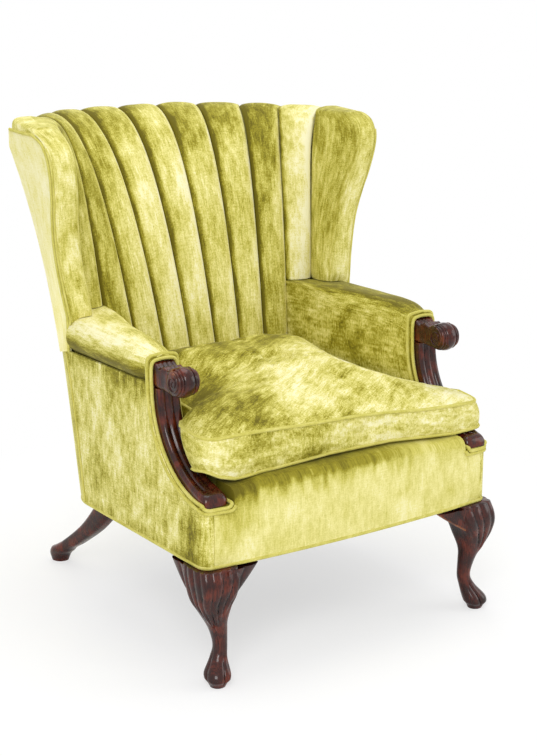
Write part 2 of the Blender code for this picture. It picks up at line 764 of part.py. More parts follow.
def arm_rail(side, finish, parent):
    """Wooden rail inside the arm, from the carved post to the wing board."""
    rings = []
    outer = ARM_RAIL_OUTER - FIT
    for y in (ARM_FRONT_Y, outside(1.0, ARM_RAIL_BOTTOM).y - 0.004):
        rings.append([(side * x, y, z) for x, z in (
            (ARM_RAIL_INNER, ARM_RAIL_BOTTOM), (outer, ARM_RAIL_BOTTOM),
            (outer, ARM_RAIL_TOP), (ARM_RAIL_INNER, ARM_RAIL_TOP))])
    name = "arm_rail_right" if side > 0 else "arm_rail_left"
    return loft(name, rings, finish, parent)


def outer_arm(side, finish, parent):
    """Flat outside panel of the arm, wrapping the front corner down to the hem."""
    rings = []
    low = HEM_HEIGHT + 2 * HEM_CORD_RADIUS
    wrap_top = RAIL_TOP - 0.004
    heights = list(np.linspace(low, wrap_top, 4)) + [RAIL_TOP - FIT]
    heights += arc_levels(RAIL_TOP)[:-1] + [PANEL_TOP_Z]
    for z in heights:
        z = float(z)
        rear = outside(1.0, z)
        ring_out, ring_in = [], []
        corner = CORNER_RADIUS
        if z <= wrap_top:
            for step in range(6):
                angle = math.radians(-90 + 18 * step)
                ring_out.append((BODY_HALF_WIDTH - corner + corner * math.cos(angle),
                                 FRONT_Y + corner + corner * math.sin(angle)))
                inset = corner - PANEL_THICKNESS
                ring_in.append((BODY_HALF_WIDTH - corner + inset * math.cos(angle),
                                FRONT_Y + corner + inset * math.sin(angle)))
        else:
            start = max(arm_front(z), FRONT_Y + corner)
            for step in range(6):
                y = start + 0.002 * step
                ring_out.append((BODY_HALF_WIDTH, y))
                ring_in.append((BODY_HALF_WIDTH - PANEL_THICKNESS, y))
        ring_out.append((rear.x, rear.y - FIT))
        ring_in.append((rear.x - PANEL_THICKNESS, rear.y - 2 * FIT))
        ring = ring_out + ring_in[::-1]
        rings.append([(side * x, y, z) for x, y in ring])
    name = "outer_arm_right" if side > 0 else "outer_arm_left"
    return loft(name, rings, finish, parent)


def arm_post(side, finish, parent):
    """Carved show-wood post: a reeded sweep from under the scroll to the front rail."""
    rings = []
    columns = 4 * POST_REEDS + 1
    for angle in ARC_ANGLES:
        ring = []
        for step in range(columns):
            share = step / (columns - 1)
            x = POST_CENTRE_X + POST_HALF_WIDTH * (2 * share - 1)
            reed = POST_REED_DEPTH * (1 - abs(math.sin(math.pi * POST_REEDS * share)))
            y, z = post_arc(float(angle), reed)
            ring.append((side * x, y, z))
        for x in (POST_CENTRE_X + POST_HALF_WIDTH, POST_CENTRE_X - POST_HALF_WIDTH):
            y, z = post_arc(float(angle), POST_DEPTH)
            ring.append((side * x, y, z))
        rings.append(ring)
    name = "arm_post_right" if side > 0 else "arm_post_left"
    return loft(name, rings, finish, parent)


def knuckle_section(radius, half_drop):
    """Side view of the scroll knuckle as y, z pairs, for one radius of its roll."""
    low = POST_TOP_Z + FIT
    back = ARM_FRONT_Y - FIT
    top = low + BLOCK_DEPTH_BELOW + BLOCK_RISE
    roll_y = back - SCROLL_REACH
    roll_z = low + BLOCK_DEPTH_BELOW - SCROLL_DROP
    section = [(back, low), (back, top), (back - 0.012, top - 0.003), (back - 0.028, top - 0.010)]
    section.append((back - 0.046, top - 0.010 + half_drop))
    for step in range(11):
        angle = math.radians(80 + 24 * step)
        section.append((roll_y + radius * math.cos(angle), roll_z + radius * math.sin(angle)))
    section.append((back - POST_DEPTH - 0.008, low))
    return section


def scroll_knuckle(side, finish, parent):
    """Carved arm end: a block that rolls over into a barrel with a volute at each end."""
    profile = ((-1.0, SCROLL_END_RADIUS), (-0.72, SCROLL_END_RADIUS), (-0.70, SCROLL_RADIUS - 0.0025),
               (-0.55, SCROLL_RADIUS - 0.0025), (-0.53, SCROLL_RADIUS - 0.001), (0.0, SCROLL_RADIUS + 0.001))
    stations = list(profile) + [(-share, radius) for share, radius in profile[-2::-1]]
    rings = []
    for share, radius in stations:
        x = POST_CENTRE_X + SCROLL_HALF_WIDTH * share
        limit = KNUCKLE_HALF_WIDTH * share / 1.0
        section = knuckle_section(radius, radius - SCROLL_RADIUS)
        ring = []
        for index, (y, z) in enumerate(section):
            on_block = index < 4 or index == len(section) - 1
            ring.append((side * (POST_CENTRE_X + limit if on_block else x), y, z))
        rings.append(ring)
    name = "scroll_knuckle_right" if side > 0 else "scroll_knuckle_left"
    return loft(name, rings, finish, parent)


def arm_cord(side, finish, parent):
    """Welt cord round the carved post and over the top of the knuckle."""
    offset = POST_DEPTH - ARM_CORD_RADIUS - FIT
    reach = POST_HALF_WIDTH + ARM_CORD_RADIUS + FIT
    crest = POST_TOP_Z + 2 * FIT + BLOCK_DEPTH_BELOW + BLOCK_RISE + ARM_CORD_RADIUS
    back = ARM_FRONT_Y - 2 * FIT - ARM_CORD_RADIUS
    points = []
    for angle in ARC_ANGLES[::-1]:
        y, z = post_arc(float(angle), offset)
        points.append((POST_CENTRE_X + reach, y, z))
    points.append((POST_CENTRE_X + reach, back, crest - 0.003))
    points.append((POST_CENTRE_X + reach - 0.002, back, crest))
    points.append((POST_CENTRE_X - reach + 0.002, back, crest))
    points.append((POST_CENTRE_X - reach, back, crest - 0.003))
    for angle in ARC_ANGLES:
        y, z = post_arc(float(angle), offset)
        points.append((POST_CENTRE_X - reach, y, z))
    tip = FRONT_Y - ARM_CORD_RADIUS - FIT
    tip_z = points[0][2]
    points.append((POST_CENTRE_X - reach, tip, tip_z))
    points.append((POST_CENTRE_X + reach, tip, tip_z))
    name = "arm_cord_right" if side > 0 else "arm_cord_left"
    return cord(name, mirror_x(points, side), ARM_CORD_RADIUS, finish, parent, cyclic=True)


# Base frame

def front_rail(finish, parent):
    edge = BODY_HALF_WIDTH - STILE_INSET - STILE - FIT
    near = FRONT_Y + STILE_INSET
    outline = [(-edge, near), (edge, near), (edge, near + RAIL_THICKNESS), (-edge, near + RAIL_THICKNESS)]
    return prism("front_rail", outline, RAIL_BOTTOM, RAIL_TOP, finish, parent)


def side_rail(side, finish, parent):
    """Bent side rail: straight along the seat, then following the rear curve to the rear leg."""
    inset = PANEL_THICKNESS + 4 * FIT
    start = FRONT_Y + STILE_INSET + STILE + FIT
    end_x = REAR_STILE_X + STILE / 2 + FIT
    face = BODY_HALF_WIDTH - inset
    stations = [((face, y), (face - RAIL_THICKNESS, y)) for y in (start, SIDE_BACK_Y)]
    for x in np.linspace(BODY_HALF_WIDTH - 0.012, end_x + 0.02, 5):
        u = 2 / math.pi * math.asin(min(float(x) / BODY_HALF_WIDTH, 1.0))
        stations.append((rear_curve(u, inset), rear_curve(u, inset + RAIL_THICKNESS)))
    stations.append(((end_x, rear_y_at(end_x, inset)), (end_x, rear_y_at(end_x, inset + RAIL_THICKNESS))))
    rings = []
    for outer, inner in stations:
        rings.append([(side * outer[0], outer[1], RAIL_BOTTOM), (side * inner[0], inner[1], RAIL_BOTTOM),
                      (side * inner[0], inner[1], RAIL_TOP), (side * outer[0], outer[1], RAIL_TOP)])
    name = "side_rail_right" if side > 0 else "side_rail_left"
    return loft(name, rings, finish, parent)


def back_rail(finish, parent):
    """Curved rear rail between the rear legs."""
    inset = PANEL_THICKNESS + 4 * FIT
    edge = REAR_STILE_X - STILE / 2 - FIT
    rings = []
    for x in np.linspace(-edge, edge, 11):
        outer = rear_y_at(float(x), inset)
        inner = rear_y_at(float(x), inset + RAIL_THICKNESS)
        rings.append([(x, outer, RAIL_BOTTOM), (x, inner, RAIL_BOTTOM),
                      (x, inner, RAIL_TOP), (x, outer, RAIL_TOP)])
    return loft("back_rail", rings, finish, parent)


def corner_block(side, front, finish, parent):
    """Glued corner block behind a leg stile."""
    middle = (RAIL_BOTTOM + RAIL_TOP) / 2
    if front:
        near = FRONT_Y + STILE_INSET
        stile_x = BODY_HALF_WIDTH - STILE_INSET - STILE - 2 * FIT
        rail_y = near + RAIL_THICKNESS + FIT
        stile_y = near + STILE + 2 * FIT
        side_x = BODY_HALF_WIDTH - PANEL_THICKNESS - 5 * FIT - RAIL_THICKNESS
        outline = [(stile_x, rail_y), (stile_x, stile_y), (side_x, stile_y),
                   (side_x, stile_y + BLOCK_LEG), (stile_x - BLOCK_LEG, rail_y)]
    else:
        inset = PANEL_THICKNESS + 8 * FIT + RAIL_THICKNESS
        stile_x = REAR_STILE_X - STILE / 2 - 2 * FIT
        far = stile_x - BLOCK_LEG
        outline = [(stile_x, REAR_STILE_Y - STILE / 2), (stile_x, rear_y_at(stile_x, inset)),
                   (far, rear_y_at(far, inset)), (far, rear_y_at(far, inset) - 0.012)]
    outline = [(side * x, y) for x, y in outline]
    place_name = ("front" if front else "rear") + ("_right" if side > 0 else "_left")
    return prism("corner_block_" + place_name, outline, middle - BLOCK_HEIGHT / 2, middle + BLOCK_HEIGHT / 2,
                 finish, parent)


def square_ring(half, angles):
    """Plan points of a square stile with rounded corners."""
    points = []
    for angle in angles:
        c, s = math.cos(angle), math.sin(angle)
        radius = half / (abs(c) ** STILE_POWER + abs(s) ** STILE_POWER) ** (1 / STILE_POWER)
        points.append((radius * c, radius * s))
    return points


def front_leg(side, finish, parent):
    """Cabriole leg with a fluted knee and a clawed foot, in one piece with its stile."""
    centre_x = BODY_HALF_WIDTH - STILE_INSET - STILE / 2
    centre_y = FRONT_Y + STILE_INSET + STILE / 2
    angles = [2 * math.pi * k / LEG_SIDES for k in range(LEG_SIDES)]
    rings = []
    neck_top = RAIL_BOTTOM - FIT
    for z, half in ((RAIL_TOP - 0.005, STILE / 2), (neck_top, STILE / 2),
                    (neck_top, STILE_NECK / 2), (HEM_HEIGHT, STILE_NECK / 2)):
        rings.append([(centre_x + x, centre_y + y, z) for x, y in square_ring(half, angles)])
    for share, lean_x, lean_y, half in through(FRONT_LEG, 16):
        knee = min(max((share - 0.51) / 0.22, 0.0), 1.0)
        foot = min(max((0.245 - share) / 0.09, 0.0), 1.0)
        depth = KNEE_FLUTE_DEPTH * knee + TOE_DEPTH * foot
        ring = []
        for angle in angles:
            towards = math.cos(angle + math.pi / 4)
            power = 2 + 2.5 * knee
            radius = half / (abs(math.cos(angle)) ** power + abs(math.sin(angle)) ** power) ** (1 / power)
            outward = min(max(0.5 + towards, 0.0), 1.0)
            radius += depth * outward * (math.cos(LEG_FLUTES * (angle + math.pi / 4)) - 1) / 2
            radius *= 1 + 0.10 * foot * max(0.0, towards)
            ring.append((centre_x + lean_x + radius * math.cos(angle),
                         centre_y - lean_y + radius * math.sin(angle), float(share) * HEM_HEIGHT))
        rings.append(ring)
    rings = [mirror_x(ring, side) for ring in rings]
    name = "front_leg_right" if side > 0 else "front_leg_left"
    return loft(name, rings, finish, parent)


def rear_leg(side, finish, parent):
    """Sabre leg that sweeps back to a pad foot, in one piece with its stile."""
    angles = [2 * math.pi * (k + 0.5) / REAR_LEG_SIDES for k in range(REAR_LEG_SIDES)]
    rings = []
    for z in (RAIL_TOP, RAIL_BOTTOM):
        rings.append([(REAR_STILE_X + x, REAR_STILE_Y + y, z) for x, y in square_ring(STILE / 2, angles)])
    for share, sweep, length, width in through(REAR_LEG, 19):
        ring = []
        power = 3.5 if share > 0.22 else 2.2
        for angle in angles:
            radius = 1 / (abs(math.cos(angle)) ** power + abs(math.sin(angle)) ** power) ** (1 / power)
            x = width / 2 * radius * math.cos(angle)
            y = length / 2 * radius * math.sin(angle)
            back = sweep + y
            ring.append((REAR_STILE_X + REAR_LEG_SPLAY * back + x, REAR_STILE_Y + back,
                         float(share) * HEM_HEIGHT))
        rings.append(ring)
    rings = [mirror_x(ring, side) for ring in rings]
    name = "rear_leg_right" if side > 0 else "rear_leg_left"
    return loft(name, rings, finish, parent)


def knee_bracket(side, along_front, finish, parent):
    """Scrolled ear that carries the knee out under the rail."""
    lean = FRONT_LEG[0][1] if along_front else FRONT_LEG[0][2]
    leg_edge = STILE_INSET + STILE / 2 + FRONT_LEG[0][3] - lean + 2 * FIT
    height = BRACKET_HEIGHT if along_front else SIDE_BRACKET_HEIGHT
    top = HEM_HEIGHT - 2 * FIT
    profile = [(0.0, top), (BRACKET_LENGTH, top), (BRACKET_LENGTH, top - BRACKET_TIP)]
    for step in range(1, 8):
        angle = math.pi / 2 * step / 7
        drop = BRACKET_TIP + (height - BRACKET_TIP) * math.sin(angle)
        profile.append((BRACKET_LENGTH * math.cos(angle) ** 3, top - drop))
    rings = []
    for inset in (0.004, 0.006, 0.006 + BRACKET_THICKNESS):
        ring = []
        for reach, z in profile:
            swell = 0.004 * (top - z) / height if inset < 0.006 + BRACKET_THICKNESS else 0.0
            if along_front:
                ring.append((BODY_HALF_WIDTH - leg_edge - reach, FRONT_Y + inset - swell, z))
            else:
                ring.append((BODY_HALF_WIDTH - inset + swell, FRONT_Y + leg_edge + reach, z))
        rings.append(mirror_x(ring, side))
    place_name = ("front" if along_front else "side") + ("_right" if side > 0 else "_left")
    return loft("knee_bracket_" + place_name, rings, finish, parent)


def front_apron(finish, parent):
    """Upholstered front panel, rolled over the sprung edge of the platform."""
    edge = BODY_HALF_WIDTH - CORNER_RADIUS - FIT
    inner = ARM_INNER_FRONT - SEAT_FIT
    low = HEM_HEIGHT + 2 * HEM_CORD_RADIUS
    depth = STILE_INSET - FIT
    back = FRONT_Y + EDGE_ROLL
    ledge = RAIL_TOP + FIT / 2
    rings = []
    shoulder = DECK_TOP - 0.010
    for x, top in ((-edge, ledge), (-inner, ledge), (-inner, shoulder),
                   (-0.75 * inner, DECK_TOP), (0.0, DECK_TOP), (0.75 * inner, DECK_TOP),
                   (inner, shoulder), (inner, ledge), (edge, ledge)):
        raised = top > ledge
        ring = [(FRONT_Y, low), (FRONT_Y - 0.001, (low + ledge) / 2)]
        for step in range(5):
            angle = math.radians(22.5 * step)
            round_off = 0.018 if raised else 0.006
            ring.append((FRONT_Y + round_off * (1 - math.cos(angle)),
                         top - round_off * (1 - math.sin(angle))))
        if raised:
            ring += [(back, top), (back, ledge), (FRONT_Y + depth, ledge)]
        else:
            ring += [(FRONT_Y + 0.8 * depth, top), (FRONT_Y + 0.9 * depth, top), (FRONT_Y + depth, top)]
        ring.append((FRONT_Y + depth, low))
        bow = front_bow(x)
        rings.append([(x, y - bow * (y < FRONT_Y + 0.5 * depth), z) for y, z in ring])
    return loft("front_apron", rings, finish, parent)


def hem_cord(finish, parent):
    half = base_outline(HEM_CORD_RADIUS)
    z = HEM_HEIGHT + HEM_CORD_RADIUS
    points = [(x, y, z) for x, y in half]
    points += [(-x, y, z) for x, y in half[-2:0:-1]]
    return cord("hem_cord", points, HEM_CORD_RADIUS, finish, parent, cyclic=True)


# Seat platform

def deck_outline(inset):
    """Half outline of the sprung platform, right side."""
    front = FRONT_Y + EDGE_ROLL + FIT + inset
    rear = REAR_Y - PANEL_THICKNESS - 0.014
    half = ARM_INNER_FRONT - SEAT_FIT - ARM_CORD_RADIUS - inset
    knee = SEAT_BACK_Y - 0.075
    points = [(half, front), (ARM_INNER_REAR - inset, knee), (DECK_REAR_HALF_WIDTH - inset, knee + 0.03)]
    for x in np.linspace(DECK_REAR_HALF_WIDTH - inset, 0, 5):
        points.append((float(x), rear_y_at(float(x), REAR_Y - rear) - inset))
    return points


def seat_deck(finish, parent):
    half = deck_outline(0.0)
    outline = half + [(-x, y) for x, y in half[-2::-1]]
    return prism("seat_deck", outline, DECK_BOTTOM, DECK_TOP, finish, parent)


def seat_webbing(finish, parent):
    """Woven jute webbing under the springs, drawn as one lattice of crossing straps."""
    front = FRONT_Y + STILE_INSET + RAIL_THICKNESS / 2
    half = BODY_HALF_WIDTH - PANEL_THICKNESS - RAIL_THICKNESS / 2
    top = RAIL_BOTTOM - FIT
    xs = [WEBBING_PITCH * (k - 1.5) for k in range(4)]
    ys = list(np.linspace(front + 0.12, SIDE_BACK_Y - 0.03, WEBBING_RUNS))
    x_edges = [-half] + [v for x in xs for v in (x - WEBBING_WIDTH / 2, x + WEBBING_WIDTH / 2)] + [half]
    y_edges = [front] + [v for y in ys for v in (y - WEBBING_WIDTH / 2, y + WEBBING_WIDTH / 2)]
    bm = bmesh.new()
    grid = []
    for x in x_edges:
        rear = rear_y_at(x, PANEL_THICKNESS + RAIL_THICKNESS / 2)
        grid.append([bm.verts.new((x, float(y), top)) for y in y_edges + [rear]])
    for i in range(len(x_edges) - 1):
        for j in range(len(y_edges)):
            lengthwise = i % 2 == 1
            crosswise = j % 2 == 1
            if lengthwise or crosswise:
                bm.faces.new((grid[i][j], grid[i + 1][j], grid[i + 1][j + 1], grid[i][j + 1]))
    loose = [v for v in bm.verts if not v.link_faces]
    bmesh.ops.delete(bm, geom=loose, context="VERTS")
    made = bmesh.ops.extrude_face_region(bm, geom=list(bm.faces))
    lifted = [item for item in made["geom"] if isinstance(item, bmesh.types.BMVert)]
    bmesh.ops.translate(bm, verts=lifted, vec=(0, 0, -WEBBING_THICKNESS))
    return place("seat_webbing", mesh_from(bm, "seat_webbing"), finish, parent)


def seat_spring(index, finish, parent):
    """Hourglass coil spring between the webbing and the platform."""
    column, row = index % 2, index // 2
    x = SPRING_SPREAD_X * (2 * column - 1)
    y = (FRONT_Y + SEAT_BACK_Y) / 2 + SPRING_SPREAD_Y * (2 * row - 1)
    low = RAIL_BOTTOM + SPRING_WIRE
    high = DECK_BOTTOM - FIT - 1.2 * SPRING_WIRE
    count = int(SPRING_TURNS * 10)
    points = []
    for k in range(count + 1):
        share = k / count
        radius = SPRING_RADIUS * (SPRING_WAIST + (1 - SPRING_WAIST) * (2 * share - 1) ** 2)
        angle = 2 * math.pi * SPRING_TURNS * share
        points.append((x + radius * math.cos(angle), y + radius * math.sin(angle),
                       low + (high - low) * share))
    return wire(f"seat_spring_{index + 1}", points, SPRING_WIRE, 4, finish, parent)


def dust_cover(finish, parent):
    """Thin black cloth closing the underside, notched round the leg stiles."""
    top = RAIL_BOTTOM - 2 * FIT - WEBBING_THICKNESS
    stile_x = BODY_HALF_WIDTH - STILE_INSET - STILE - 0.002
    stile_y = FRONT_Y + STILE_INSET + STILE + 0.002
    edge = BODY_HALF_WIDTH - PANEL_THICKNESS - 0.006
    rear_x = REAR_STILE_X - STILE / 2 - 0.003
    rear_y = REAR_STILE_Y - STILE / 2 - 0.003
    half = [(stile_x, FRONT_Y + STILE_INSET + 0.002), (stile_x, stile_y), (edge, stile_y),
            (edge, SIDE_BACK_Y - 0.01), (REAR_STILE_X + STILE / 2 + 0.003, rear_y), (rear_x, rear_y)]
    for x in np.linspace(rear_x, 0, 5):
        half.append((float(x), rear_y_at(float(x), PANEL_THICKNESS + 0.008)))
    outline = half + [(-x, y) for x, y in half[-2::-1]]
    return prism("dust_cover", outline, top - COVER_THICKNESS, top, finish, parent)


# Loose cushion

def cushion_half_width(y, ear):
    """Half width of the cushion: an ear in front of the arm post, then narrowing to the back."""
    front = FRONT_Y + CUSHION_OVERHANG
    rear = cushion_rear()
    share = (y - front) / (rear - front)
    body = CUSHION_HALF_FRONT + (CUSHION_HALF_REAR - CUSHION_HALF_FRONT) * share
    step = min(max((y - front - CUSHION_EAR_DEPTH + CUSHION_EAR_STEP) / CUSHION_EAR_STEP, 0.0), 1.0)
    return ear + (body - ear) * (3 * step ** 2 - 2 * step ** 3)


def cushion_rear():
    """Depth of the cushion's rear edge, in front of the channels."""
    column = Column(0.0)
    pad = column.at(column.t_at(DECK_TOP))[0].y
    return pad - CHANNEL_CROWN_FOOT - CUSHION_REAR_GAP - 2 * CUSHION_CORD_RADIUS


def cushion_outline(scale, count):
    """Plan points of the cushion: a rounded box with two ears at the front."""
    front = FRONT_Y + CUSHION_OVERHANG
    rear = cushion_rear()
    middle, half_depth = (front + rear) / 2, (rear - front) / 2
    points = []
    for k in range(count):
        angle = 2 * math.pi * (k + 0.5) / count
        c, s = math.cos(angle), math.sin(angle)
        power = CUSHION_CORNER_POWER
        radius = (abs(c) ** power + abs(s) ** power) ** (-1 / power)
        y = middle + radius * s * half_depth
        waist = 1 - 0.012 * (1 - abs(radius * c * radius * s))
        ear = (CUSHION_EAR_RIGHT if c > 0 else CUSHION_EAR_LEFT) - CUSHION_HALF_FRONT
        fade = min(max((scale - 0.55) / 0.40, 0.0), 1.0)
        half_width = cushion_half_width(y, CUSHION_HALF_FRONT + ear * fade * fade * (3 - 2 * fade))
        reach = scale * waist * radius
        points.append((reach * c * half_width, middle + reach * s * half_depth))
    return points


def cushion_floor(x, y):
    """Lowest height the cushion may take at a plan point: the platform, or above the post's foot."""
    low = DECK_TOP + SEAT_FIT
    reach = min(max((y - FRONT_Y) / POST_SWEEP, 0.0), 0.98)
    foot = POST_TOP_Z - POST_RISE * math.sqrt(1 - reach * reach) + 0.012
    near = POST_CENTRE_X - POST_HALF_WIDTH - 0.004
    blend = min(max((abs(x) - near + 0.045) / 0.040, 0.0), 1.0)
    if y > FRONT_Y + CUSHION_OVERHANG + CUSHION_EAR_DEPTH + 0.02:
        return low
    return low + max(0.0, foot - low) * blend


def ear_share(x):
    """How far a cushion point lies out on an ear: 0 on the body, 1 at the tip."""
    root = 0.9 * CUSHION_HALF_FRONT
    return min(max((abs(x) - root) / (CUSHION_EAR_RIGHT - root), 0.0), 1.0)


def cushion_point(x, y, z):
    """A cushion point, squeezed up where it passes over a post's foot; the ears droop and flare."""
    low = DECK_TOP + SEAT_FIT
    share = min((z - low) / CUSHION_BOXING, 1.0)
    floor = cushion_floor(x, y)
    droop = CUSHION_EAR_DROOP * ear_share(x) ** 2
    height = floor + share * (low + CUSHION_BOXING - floor - droop) + max(0.0, z - low - CUSHION_BOXING)
    return (x * (1 + CUSHION_EAR_FLARE * ear_share(x) ** 2 * (1 - share)), y, height)


def seat_cushion(finish, parent):
    """Loose boxed cushion with a high crown and drawn-in sides."""
    count = 48
    low = DECK_TOP + SEAT_FIT
    seam_low = low + 0.008
    seam_high = low + CUSHION_BOXING
    levels = [(0.55, low), (0.90, low), (0.97, low + 0.002)]
    for share in (0.0, 0.25, 0.5, 0.75, 1.0):
        levels.append((0.985 + CUSHION_BULGE / CUSHION_HALF_FRONT * math.sin(math.pi * share),
                       seam_low + (seam_high - seam_low) * share))
    for scale in (0.93, 0.84, 0.70, 0.50, 0.25):
        levels.append((scale, seam_high + CUSHION_CROWN * (1 - scale ** 2.2)))
    rings = []
    for scale, z in levels:
        rings.append([cushion_point(x, y, z) for x, y in cushion_outline(scale, count)])
    return loft("seat_cushion", rings, finish, parent)


def cushion_cord(name, z, finish, parent):
    """Welt cord sewn round the edge of the cushion."""
    loop = [Vector(cushion_point(x, y, z)) for x, y in cushion_outline(0.985, 48)]
    points = []
    for index, here in enumerate(loop):
        run = loop[(index + 1) % len(loop)] - loop[index - 1]
        out = Vector((run.y, -run.x, 0)).normalized()
        points.append(tuple(here + out * (CUSHION_CORD_RADIUS + 4 * SEAT_FIT)))
    return cord(name, points, CUSHION_CORD_RADIUS, finish, parent, cyclic=True)


def main():
    clear_scene()
    velvet = make_finish("chartreuse_velvet", (0.60, 0.58, 0.10), 0.75)
    welt = make_finish("velvet_welt", (0.64, 0.60, 0.10), 0.7)
    mahogany = make_finish("dark_mahogany", (0.045, 0.018, 0.014), 0.35)
    beech = make_finish("frame_beech", (0.55, 0.38, 0.22), 0.6)
    jute = make_finish("jute", (0.42, 0.31, 0.18), 0.9)
    steel = make_finish("spring_steel", (0.35, 0.35, 0.36), 0.4, 1.0)
    cambric = make_finish("black_cambric", (0.02, 0.02, 0.02), 0.9)

    chair = make_empty("chair_frame", (0, 0, 0))
    lift = make_empty("cushion_lift", (0, (FRONT_Y + SEAT_BACK_Y) / 2, DECK_TOP), chair)

    for side in (-1, 1):
        front_leg(side, mahogany, chair)
        rear_leg(side, mahogany, chair)
        knee_bracket(side, True, mahogany, chair)
        knee_bracket(side, False, mahogany, chair)
        arm_post(side, mahogany, chair)
        scroll_knuckle(side, mahogany, chair)
        side_rail(side, beech, chair)
        corner_block(side, True, beech, chair)
        corner_block(side, False, beech, chair)
        back_post(side, beech, chair)
        wing_board(side, beech, chair)
        arm_rail(side, beech, chair)
        wing_pad(side, velvet, chair)
        outer_wing(side, velvet, chair)
        arm_pad(side, velvet, chair)
        outer_arm(side, velvet, chair)
        arm_cord(side, welt, chair)
    front_rail(beech, chair)
    back_rail(beech, chair)
    top_rail(beech, chair)
    front_apron(velvet, chair)
    outside_back(velvet, chair)
    hem_cord(welt, chair)
    seat_deck(jute, chair)
    seat_webbing(jute, chair)
    dust_cover(cambric, chair)
    for index in range(4):
        seat_spring(index, steel, chair)
    for index in range(CHANNELS):
        channel(index, velvet, chair)
    seat_cushion(velvet, lift)
    seam_low = DECK_TOP + SEAT_FIT + 0.008
    cushion_cord("cushion_cord_bottom", seam_low, welt, lift)
    cushion_cord("cushion_cord_top", DECK_TOP + SEAT_FIT + CUSHION_BOXING, welt, lift)


main()
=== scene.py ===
"""Looks of a fan-back wing armchair: crushed velvet over stuffed channels, and carved mahogany.

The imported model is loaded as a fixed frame. Every soft or carved solid is replaced by a fuller
piece of the same form, and the hidden frame keeps its solids and gets a finish.
Metres, +Z up. The chair faces -Y and +X is its right-hand side seen from the front.
"""

import json
import logging
import zlib
from dataclasses import dataclass
from enum import Enum
from functools import cache
from math import acos, atan2, copysign, cos, exp, inf, pi, radians, sin, sqrt
from typing import Any, Callable, Sequence

import bmesh
import bpy
import numpy as np
from bmesh.types import BMesh, BMFace
from bpy.types import Material, Node, NodeSocket, NodeTree, Object
from mathutils import Matrix, Vector, noise

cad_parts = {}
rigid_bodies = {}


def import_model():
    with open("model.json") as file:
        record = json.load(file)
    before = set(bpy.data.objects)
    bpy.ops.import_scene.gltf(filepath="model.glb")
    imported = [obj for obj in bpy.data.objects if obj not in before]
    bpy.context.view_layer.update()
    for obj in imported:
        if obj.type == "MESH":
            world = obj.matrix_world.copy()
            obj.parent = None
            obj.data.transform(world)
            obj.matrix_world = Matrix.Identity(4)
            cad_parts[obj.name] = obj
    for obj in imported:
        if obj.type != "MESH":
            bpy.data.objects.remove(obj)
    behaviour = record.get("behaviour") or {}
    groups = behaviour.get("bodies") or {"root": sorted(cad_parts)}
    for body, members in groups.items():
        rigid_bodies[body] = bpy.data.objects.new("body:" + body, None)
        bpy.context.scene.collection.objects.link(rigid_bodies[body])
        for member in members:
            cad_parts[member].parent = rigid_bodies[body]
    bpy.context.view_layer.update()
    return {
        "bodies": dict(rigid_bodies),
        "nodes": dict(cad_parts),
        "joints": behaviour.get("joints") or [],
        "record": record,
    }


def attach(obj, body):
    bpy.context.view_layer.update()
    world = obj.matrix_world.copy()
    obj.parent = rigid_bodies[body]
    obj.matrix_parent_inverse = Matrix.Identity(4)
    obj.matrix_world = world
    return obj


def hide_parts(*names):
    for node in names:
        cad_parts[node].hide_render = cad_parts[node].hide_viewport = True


LOG = logging.getLogger("armchair")
CHAIR = "chair"
CUSHION = "cushion"
CLOTH_UV = "cloth"
# Vertex value of how pale the velvet is: the lie of its pile together with painted light and shade
NAP_AND_SHADE = "nap"
WEAR = "wear"
WEAR_ROUNDS = 4
# Clearance along a sewn joint, gap under a piece that rests on padding, and merging distance
SEAM = 0.0003
REST = 0.001
MERGE = 1e-5
# Unevenness of stuffed cloth
UNEVEN = 0.0012
# One cord size serves the cloth map of every welt
CORD_MAP_RADIUS = 0.004
UP = Vector((0, 0, 1))
# Socket numbers of a Mix node that is set to colours
FIRST_COLOUR, SECOND_COLOUR, MIXED = 6, 7, 2

Pair = tuple[float, float]
Triple = tuple[float, float, float]
Table = tuple[tuple[float, ...], ...]
Tones = tuple[tuple[float, str], ...]
Place = Callable[[float, float], Vector]
Shade = Callable[[float, float], float]


class Side(Enum):
    """A side of the chair seen from the front; the value is the sign of its x."""

    LEFT = -1
    RIGHT = 1

    @property
    def word(self) -> str:
        """The side's name as node names write it."""
        return self.name.lower()

    def turn(self, point: Vector) -> Vector:
        """Carry a point of the right-hand side over to this side."""
        return Vector((self.value * point.x, point.y, point.z))


# Small sums


def linear(code: str) -> tuple[float, float, float, float]:
    """Turn an sRGB hex colour into linear light.

    Args:
        code: Colour such as "#3A2522".

    Returns:
        Red, green, blue and an alpha of 1.
    """
    parts = [int(code[i:i + 2], 16) / 255 for i in (1, 3, 5)]
    red, green, blue = (p / 12.92 if p <= 0.04045 else ((p + 0.055) / 1.055) ** 2.4 for p in parts)
    return red, green, blue, 1.0


def clamp(value: float, low: float = 0.0, high: float = 1.0) -> float:
    """Hold a number between two limits."""
    return min(max(value, low), high)


def ease(value: float, low: float, high: float) -> float:
    """Rise smoothly from 0 at low to 1 at high."""
    share = clamp((value - low) / (high - low))
    return share * share * (3 - 2 * share)


def hump(value: float, centre: float, width: float) -> float:
    """A bell of height 1 round a centre."""
    return exp(-((value - centre) / width) ** 2)


def square_reach(angle: float, power: float) -> float:
    """Reach at an angle of a rounded square of half-width 1; a power of 2 gives a circle."""
    return (abs(cos(angle)) ** power + abs(sin(angle)) ** power) ** (-1 / power)


def mix(first: Any, second: Any, share: float) -> Any:
    """Blend two numbers or vectors."""
    return first + (second - first) * share


def wander(point: Vector, size: float, seed: float = 0.0) -> float:
    """Smooth unevenness between about -1 and 1 whose lumps are about size across."""
    return noise.noise(point / size + Vector((seed, 1.7 * seed, 2.3 * seed)))


